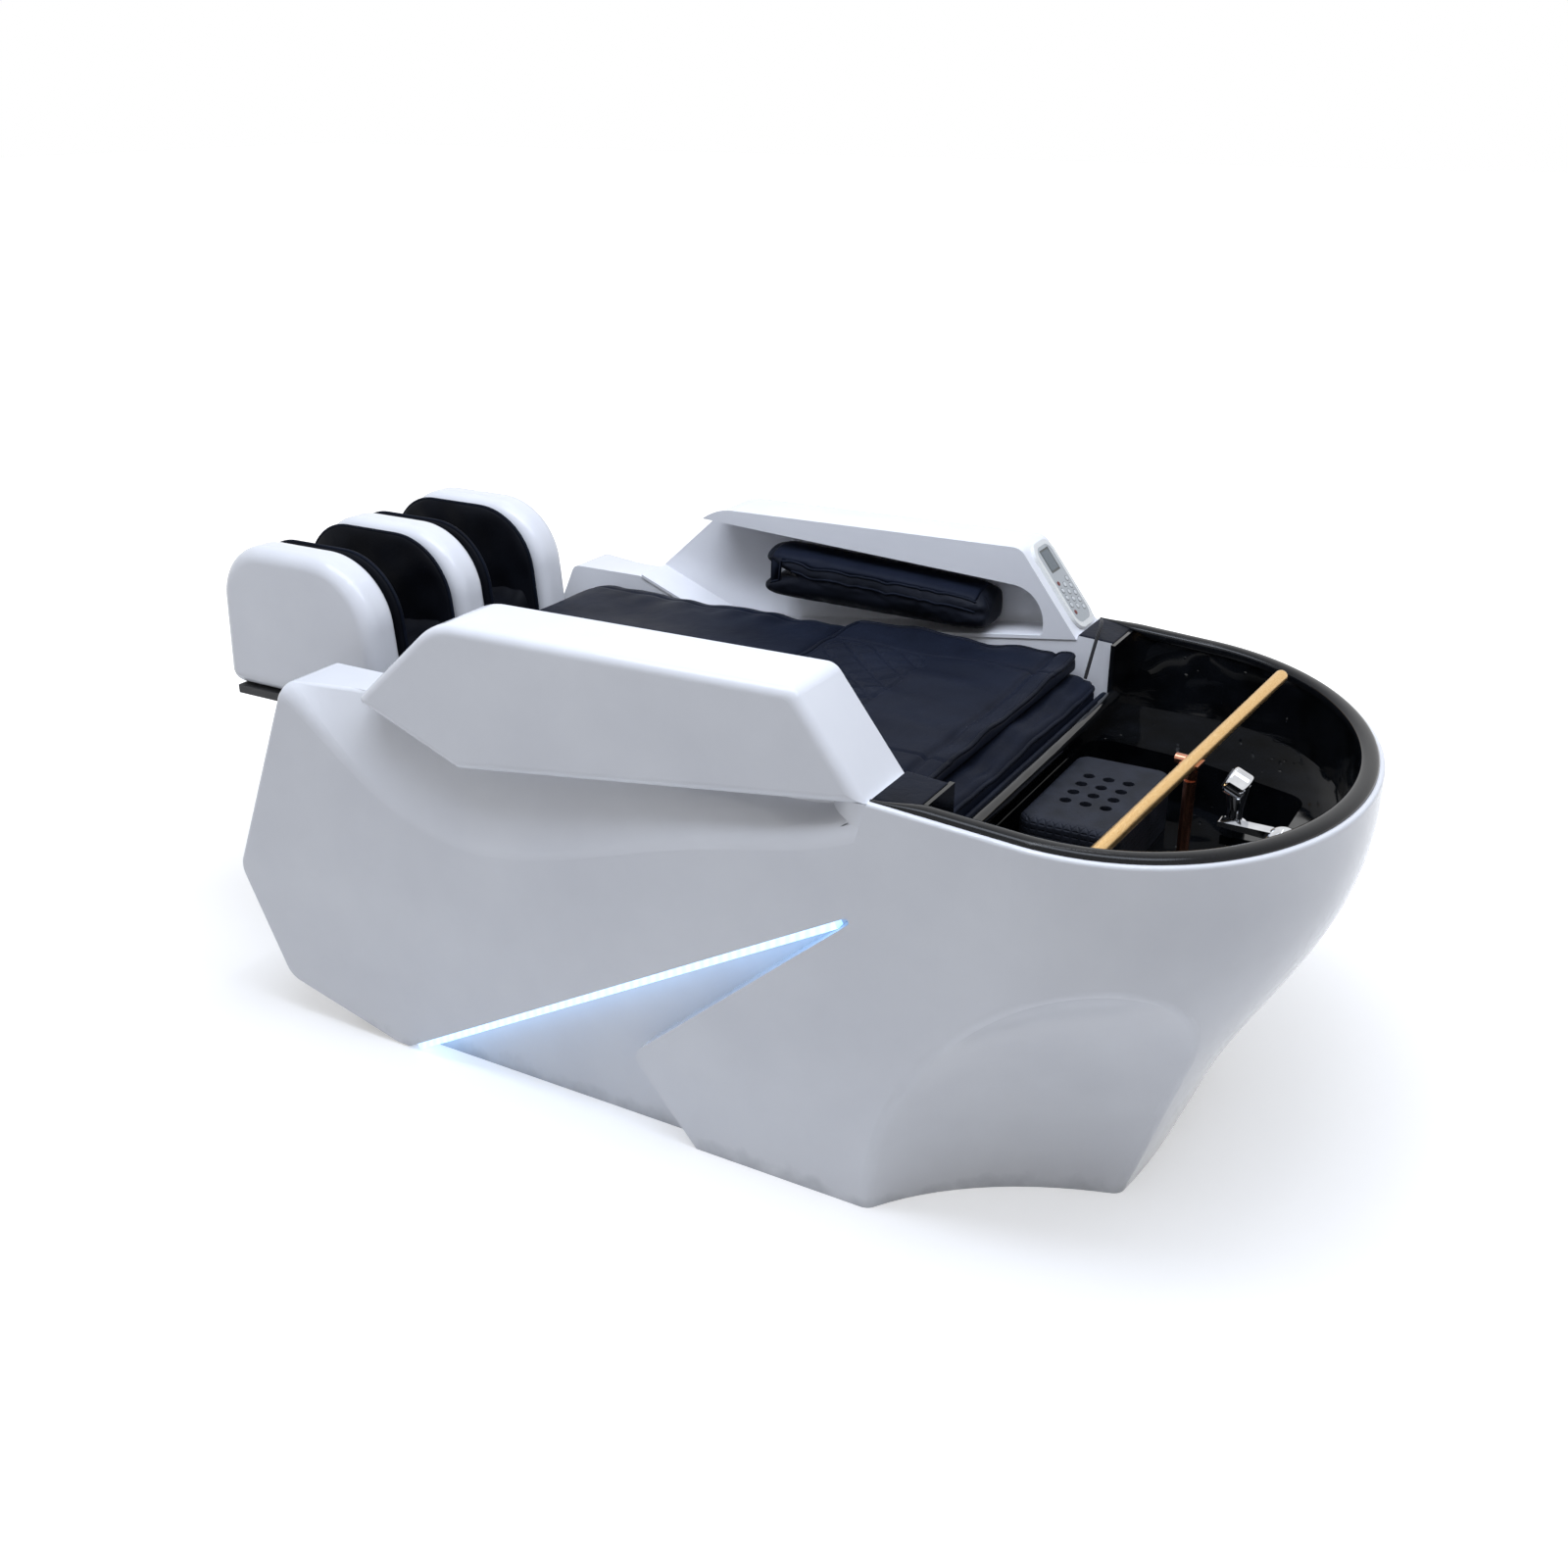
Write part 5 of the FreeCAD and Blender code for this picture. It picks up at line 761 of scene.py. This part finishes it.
def lip_path():
    """Middle line of the lip in plan with its outward normals: straight from an armrest, half of an ellipse
    with half axes of 329.5 and 428.5 mm, and straight to the other armrest."""
    bend_start, bend_length = 0.604, 0.3295
    angle = np.linspace(-math.pi / 2, math.pi / 2, 241)
    bend = np.column_stack([bend_start + bend_length * np.cos(angle), LIP_SIDE * np.sin(angle)])
    near = np.column_stack([np.linspace(LIP_START, bend_start, 101)[:-1], np.full(100, -LIP_SIDE)])
    line = np.concatenate([near, bend, near[::-1] * (1, -1)])
    ahead = np.gradient(line, axis=0)
    ahead /= np.linalg.norm(ahead, axis=1)[:, None]
    return line, np.column_stack([ahead[:, 1], -ahead[:, 0]])


def lip_width(x):
    """Share of the lip's full width and height: 0 at the armrest, 1 from 80 mm on."""
    grow = np.clip((x - LIP_START) / 0.080, 0, 1)
    return grow ** 2 * (3 - 2 * grow)


def lip():
    """Rolled lip: a crown H (1 - |2u - 1|^n)^(1/n) from its outer to its inner edge, n = 2.2, with a skirt
    down into the basin. It grows from a thin end at each armrest."""
    square = 2.2
    line, out = lip_path()
    grow = lip_width(line[:, 0])
    thin_height, added_height, outer_edge, thin_edge, skirt_depth = 0.0018, 0.0064, 0.0135, 0.0080, 0.010
    height = thin_height + added_height * grow
    outer = np.full(len(line), outer_edge)
    inner = thin_edge - LIP_GROWTH * grow
    skirt = skirt_depth * np.clip((line[:, 0] - 0.475) / 0.03, 0, 1)
    u = (1 - np.cos(np.linspace(0, math.pi, 41)))[None, :] / 2
    across = outer[:, None] + (inner - outer)[:, None] * u
    crown = height[:, None] * (1 - np.abs(2 * u - 1) ** square) ** (1 / square)
    under = np.column_stack([inner, inner + 0.002, inner + 0.004, inner + 0.0045])
    drop = np.column_stack([-0.8 * skirt, -skirt, -0.8 * skirt, 0 * skirt])
    across = np.concatenate([across, under], 1)
    rise = np.concatenate([crown, drop], 1)
    plan = line[:, None] + across[..., None] * out[:, None]
    grid = np.concatenate([plan, (deck_level(plan[..., 0]) + rise)[..., None]], -1)
    ends = [np.broadcast_to(grid[end].mean(0), (1, grid.shape[1], 3)) for end in (0, -1)]
    piece = mesh_object("basin_lip", [(np.concatenate([ends[0], grid, ends[1]]), False, True)], TRIM)
    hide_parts("basin_rim_trim")
    return trim_piece(piece, "chassis")


def sheet_rise(u, v):
    """Share of a thin sheet's thickness, 1 inside and 0 on its border, as
    sqrt((1 - |2u - 1|^n) (1 - |2v - 1|^n)), n = 24."""
    square = 24
    return np.sqrt((1 - np.abs(2 * u - 1) ** square) * (1 - np.abs(2 * v - 1) ** square))


def shoulder(name, side):
    """Leather shoulder flap beside the neck, from the trough to the lip: 1.8 mm high with rounded edges."""
    length, trough_side, thick = 0.0605, 0.3305, 0.0018
    place = (1 - np.cos(np.linspace(0, math.pi, 41))) / 2
    u = place[:, None]
    v = place[None, :]
    x = LIP_START + length * u
    far = LIP_SIDE + 0.0078 - LIP_GROWTH * lip_width(x)
    y = trough_side + (far - trough_side) * v
    level = deck_level(x) + 0 * y
    top = np.stack([x + 0 * y, side * y, level + thick * sheet_rise(u, v)], -1)
    under = np.stack([x + 0 * y, side * y, level], -1)
    piece = mesh_object(f"{name}_shoulder_flap", [(top, False, False), (under, False, False)], PIPING)
    return trim_piece(piece, "chassis")


def neck_bead():
    """Half-round bead over the edge of the shell at the neck: 9.4 mm wide, 6 mm high, with rounded ends."""
    half_length, half_width, height = 0.3285, 0.0047, 0.006
    place_x, base_z = 0.4588, 0.5564
    y = half_length * np.sin(np.linspace(-math.pi / 2, math.pi / 2, 121))[:, None]
    angle = np.linspace(0, math.pi, 25)[None, :]
    draw = (1 - (np.abs(y) / half_length) ** 40) ** 0.5
    x = place_x + half_width * np.cos(angle)
    top = np.stack([x + 0 * y, y + 0 * angle, base_z + height * np.sin(angle) * draw], -1)
    base = np.stack([top[:, ::-1, 0], top[:, ::-1, 1], np.full(top.shape[:2], base_z)], -1)
    piece = mesh_object("neck_bead", [(top, False, False), (base, False, False)], PIPING)
    return trim_piece(piece, "chassis")


def closing_fillet(name, side):
    """Sail that closes the groove under an armrest towards its rear end, y = Y - D (1 - t)^2 - H sin(pi v).
    t runs from 0 to 1 along it, and v from the armrest's lower edge to the side below."""
    start, length, drop, lap = 0.3295, 0.0725, 0.042, 0.004
    rear_y, depth, hollow, thick = 0.4472, 0.045, 0.002, 0.003
    t = np.linspace(0, 1, 60)[:, None]
    v = np.linspace(0, 1, 30)[None, :]
    x = start + length * t
    # the armrest's lower edge rises 92 mm over 683 mm
    edge = 0.549 + (x + 0.281) / 0.683 * 0.092
    y = rear_y - depth * (1 - t) ** 2 - hollow * np.sin(math.pi * v)
    z = edge + lap - drop * v
    outer = np.stack([x + 0 * v, side * y, z], -1)
    inner = outer - sheet_rise(t, v)[..., None] * np.array([0, side * thick, 0])
    sheets = [(outer, False, False), (inner, False, False)]
    piece = mesh_object(f"{name}_arm_closing_fillet", sheets, WHITE_SHELL)
    return trim_piece(piece, "chassis")


lip()
neck_bead()
for name, side in (("left", -1), ("right", 1)):
    shoulder(name, side)
    closing_fillet(name, side)


# Hose and strap

def route_line(name, route):
    """Points along a smooth NURBS line of order 3 through the neighbourhood of its control points."""
    data = bpy.data.curves.new(name, "CURVE")
    data.dimensions = "3D"
    data.resolution_u = 64
    spline = data.splines.new("NURBS")
    spline.points.add(len(route) - 1)
    spline.points.foreach_set("co", np.column_stack([np.array(route), np.ones(len(route))]).ravel())
    spline.order_u = 3
    spline.use_endpoint_u = True
    holder = bpy.data.objects.new(name, data)
    scene.collection.objects.link(holder)
    bpy.context.view_layer.update()
    mesh = bpy.data.meshes.new_from_object(holder)
    line = np.empty(len(mesh.vertices) * 3)
    mesh.vertices.foreach_get("co", line)
    bpy.data.objects.remove(holder)
    bpy.data.curves.remove(data)
    bpy.data.meshes.remove(mesh)
    return line.reshape(-1, 3)


def cord_length(line):
    """Length of a polyline."""
    return float(np.linalg.norm(np.diff(line, axis=0), axis=1).sum())


hose_route = [(0.785, -0.080, 0.5447), (0.785, -0.080, 0.500), (0.765, -0.110, 0.465), (0.716, -0.172, 0.452),
              (0.600, -0.182, 0.452), (0.4881, -0.182, 0.452)]
hose_line = route_line("hose_route", hose_route)
hose_length = cord_length(hose_line)
HOSE_POINTS = 1000
HOSE_CORE = 0.0061
RIB_DEPTH = 0.0009
RIB_PITCH = 0.0045
hose_path = resample(hose_line, HOSE_POINTS)
rib = 0.5 + 0.5 * np.cos(np.linspace(0, hose_length, HOSE_POINTS) / RIB_PITCH * 2 * math.pi)
hose = mesh_object("shower_hose_ribbed", [tube(hose_path, HOSE_CORE + RIB_DEPTH * rib, 14)], HOSE)
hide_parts("shower_hose")
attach(hose, "chassis")
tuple(hose_route[-1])

strap_route = [(0.433, 0.297, 0.588), (0.440, 0.304, 0.634), (0.446, 0.316, 0.676), (0.440, 0.338, 0.679),
               (0.430, 0.366, 0.666), (0.424, 0.384, 0.6583)]
strap_line = route_line("strap_route", strap_route)
strap = mesh_object("pad_strap_woven", [tube(resample(strap_line, 160), 0.003, 10)], STRAP)
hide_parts("pad_strap")
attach(strap, "chassis")
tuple(strap_route[0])


# Display on the keypad's window and rings round its keys, in the plane of the armrest's slanting end

KEYPAD_DOWN = np.array([0.6054, 0.0, -0.7959])
KEYPAD_ACROSS = np.array([0.0, 1.0, 0.0])
KEYPAD_OUT = np.array([0.7959, 0.0, 0.6054])


def display_plate():
    """Thin plate on the window: 37 mm down the slope, 31 mm across it and 0.3 mm thick."""
    length, width, thick, lift = 0.037, 0.031, 0.0003, 0.0009
    low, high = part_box("keypad_screen")
    centre = (np.array(low) + np.array(high)) / 2
    u = np.linspace(0, 1, 41)[:, None, None]
    v = np.linspace(0, 1, 41)[None, :, None]
    flat = centre + length * (u - 0.5) * KEYPAD_DOWN + width * (v - 0.5) * KEYPAD_ACROSS
    under = flat + lift * KEYPAD_OUT
    top = under + thick * sheet_rise(u, v) * KEYPAD_OUT
    piece = mesh_object("keypad_display", [(top, False, False), (under, False, False)], DISPLAY)
    return trim_piece(piece, "chassis")


def key_rings():
    """Printed rings round the light keys: annuli from 4.5 to 5.2 mm, 0.1 mm proud of the overlay."""
    inner, outer = 0.0045, 0.0052
    low, high = 0.71408, 0.71418
    angle = np.linspace(0, 2 * math.pi, 40, endpoint=False)[:, None, None]
    radius = np.array([inner, inner, outer, outer])[None, :, None]
    level = np.array([low, high, high, low])[None, :, None]
    ring = radius * (np.cos(angle) * KEYPAD_DOWN + np.sin(angle) * KEYPAD_ACROSS) + level * KEYPAD_OUT
    rings = []
    for name in FINISHES[KEY]:
        centre = np.array(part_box(name)).mean(0)
        rings.append((ring + centre - (centre @ KEYPAD_OUT) * KEYPAD_OUT, True, True))
    return trim_piece(mesh_object("key_rings", rings, RING_INK), "chassis")


display_plate()
key_rings()


# Stage, light and camera

def seen_directly(tree):
    """Socket that is 1 for rays from the camera, a reflection or through glass, and 0 for others."""
    path = add(tree, "ShaderNodeLightPath")
    seen = add(tree, "ShaderNodeMath", {0: path.outputs["Is Camera Ray"], 1: path.outputs["Is Glossy Ray"]},
               operation="MAXIMUM")
    seen = add(tree, "ShaderNodeMath", {0: seen.outputs[0], 1: path.outputs["Is Transmission Ray"]},
               operation="MAXIMUM")
    return seen.outputs[0]


def stage_plane():
    """Pale matt floor that also glows white to the camera, less so near the object to leave its shadow."""
    material, tree, shader, place = new_material(
        "pale_floor_matt", {"Roughness": 0.8, "Base Color": linear("#E6E6E6")})
    seen = seen_directly(tree)
    away = add(tree, "ShaderNodeVectorMath", {0: place}, operation="LENGTH")
    fade = add(tree, "ShaderNodeMapRange", {"Value": away.outputs["Value"]},
               {"From Min": 0.9, "From Max": 2.6, "To Min": 0.42, "To Max": 1.0})
    level = add(tree, "ShaderNodeMath", {0: seen, 1: fade.outputs["Result"]}, operation="MULTIPLY")
    glow = add(tree, "ShaderNodeEmission", {"Strength": level.outputs[0]}, {"Color": (1.0, 1.0, 1.0, 1.0)})
    both = add(tree, "ShaderNodeAddShader", {0: shader.outputs[0], 1: glow.outputs[0]})
    tree.links.new(both.outputs[0], tree.nodes["Material Output"].inputs["Surface"])
    mesh = bpy.data.meshes.new("floor")
    reach = 30.0
    mesh.from_pydata([(-reach, -reach, 0), (reach, -reach, 0), (reach, reach, 0), (-reach, reach, 0)], [],
                     [(0, 1, 2, 3)])
    mesh.materials.append(material)
    floor = bpy.data.objects.new("floor", mesh)
    scene.collection.objects.link(floor)


def studio_world():
    """Even pale surroundings, white where the camera, a reflection or a view through glass looks at them."""
    world = bpy.data.worlds.new("studio")
    world.use_nodes = True
    tree = world.node_tree
    ambient = tree.nodes["Background"]
    ambient.inputs["Color"].default_value = linear("#EBEDF2")
    ambient.inputs["Strength"].default_value = 0.36
    seen = seen_directly(tree)
    white = add(tree, "ShaderNodeBackground", values={"Color": (1.0, 1.0, 1.0, 1.0), "Strength": 1.0})
    mixed = add(tree, "ShaderNodeMixShader", {0: seen, 1: ambient.outputs[0], 2: white.outputs[0]})
    tree.links.new(mixed.outputs[0], tree.nodes["World Output"].inputs["Surface"])
    scene.world = world


def lamp(name, place, target, size, power, colour, spread=180):
    """Rectangular soft box that looks at a target and lights a cone of the spread, in degrees."""
    data = bpy.data.lights.new(name, "AREA")
    data.shape = "RECTANGLE"
    data.size, data.size_y = size
    data.energy = power
    data.spread = math.radians(spread)
    data.color = linear(colour)[:3]
    light = bpy.data.objects.new(name, data)
    light.location = place
    aim = np.array(target) - np.array(place)
    light.rotation_euler = (math.atan2(math.hypot(aim[0], aim[1]), -aim[2]), 0,
                            math.atan2(aim[1], aim[0]) - math.pi / 2)
    scene.collection.objects.link(light)


stage_plane()
studio_world()
lamp("ceiling_box", (0.3, -0.45, 2.7), (0.2, 0.0, 0.5), (3.4, 1.0), 56, "#E6EFFF")
for row, place in enumerate((-1.1, -0.1, 0.9)):
    lamp(f"strip_{row}", (0.3, place, 3.1), (0.3, place, 0.5), (2.6, 0.03), 4, "#F2F6FF")
lamp("side_box", (-1.4, -3.8, 1.6), (0.0, 0.0, 0.4), (2.4, 2.4), 2.5, "#F4F6FF")
lamp("far_fill", (0.15, -0.35, 1.9), (0.15, 0.42, 0.68), (1.8, 0.25), 1.0, "#EAF0FF", 60)

VIEW_DOWN = 23.58
VIEW_TURN = 29.496
view = bpy.data.cameras.new("photo_view")
view.sensor_width = 36
view.lens = 37.125
view.clip_end = 60
camera = bpy.data.objects.new("photo_view", view)
camera.location = (1.2408, -2.1427, 1.4983)
camera.rotation_euler = (math.radians(90 - VIEW_DOWN), 0, math.radians(VIEW_TURN))
scene.collection.objects.link(camera)
scene.camera = camera
scene.view_settings.view_transform = "Standard"

bpy.context.view_layer.update()
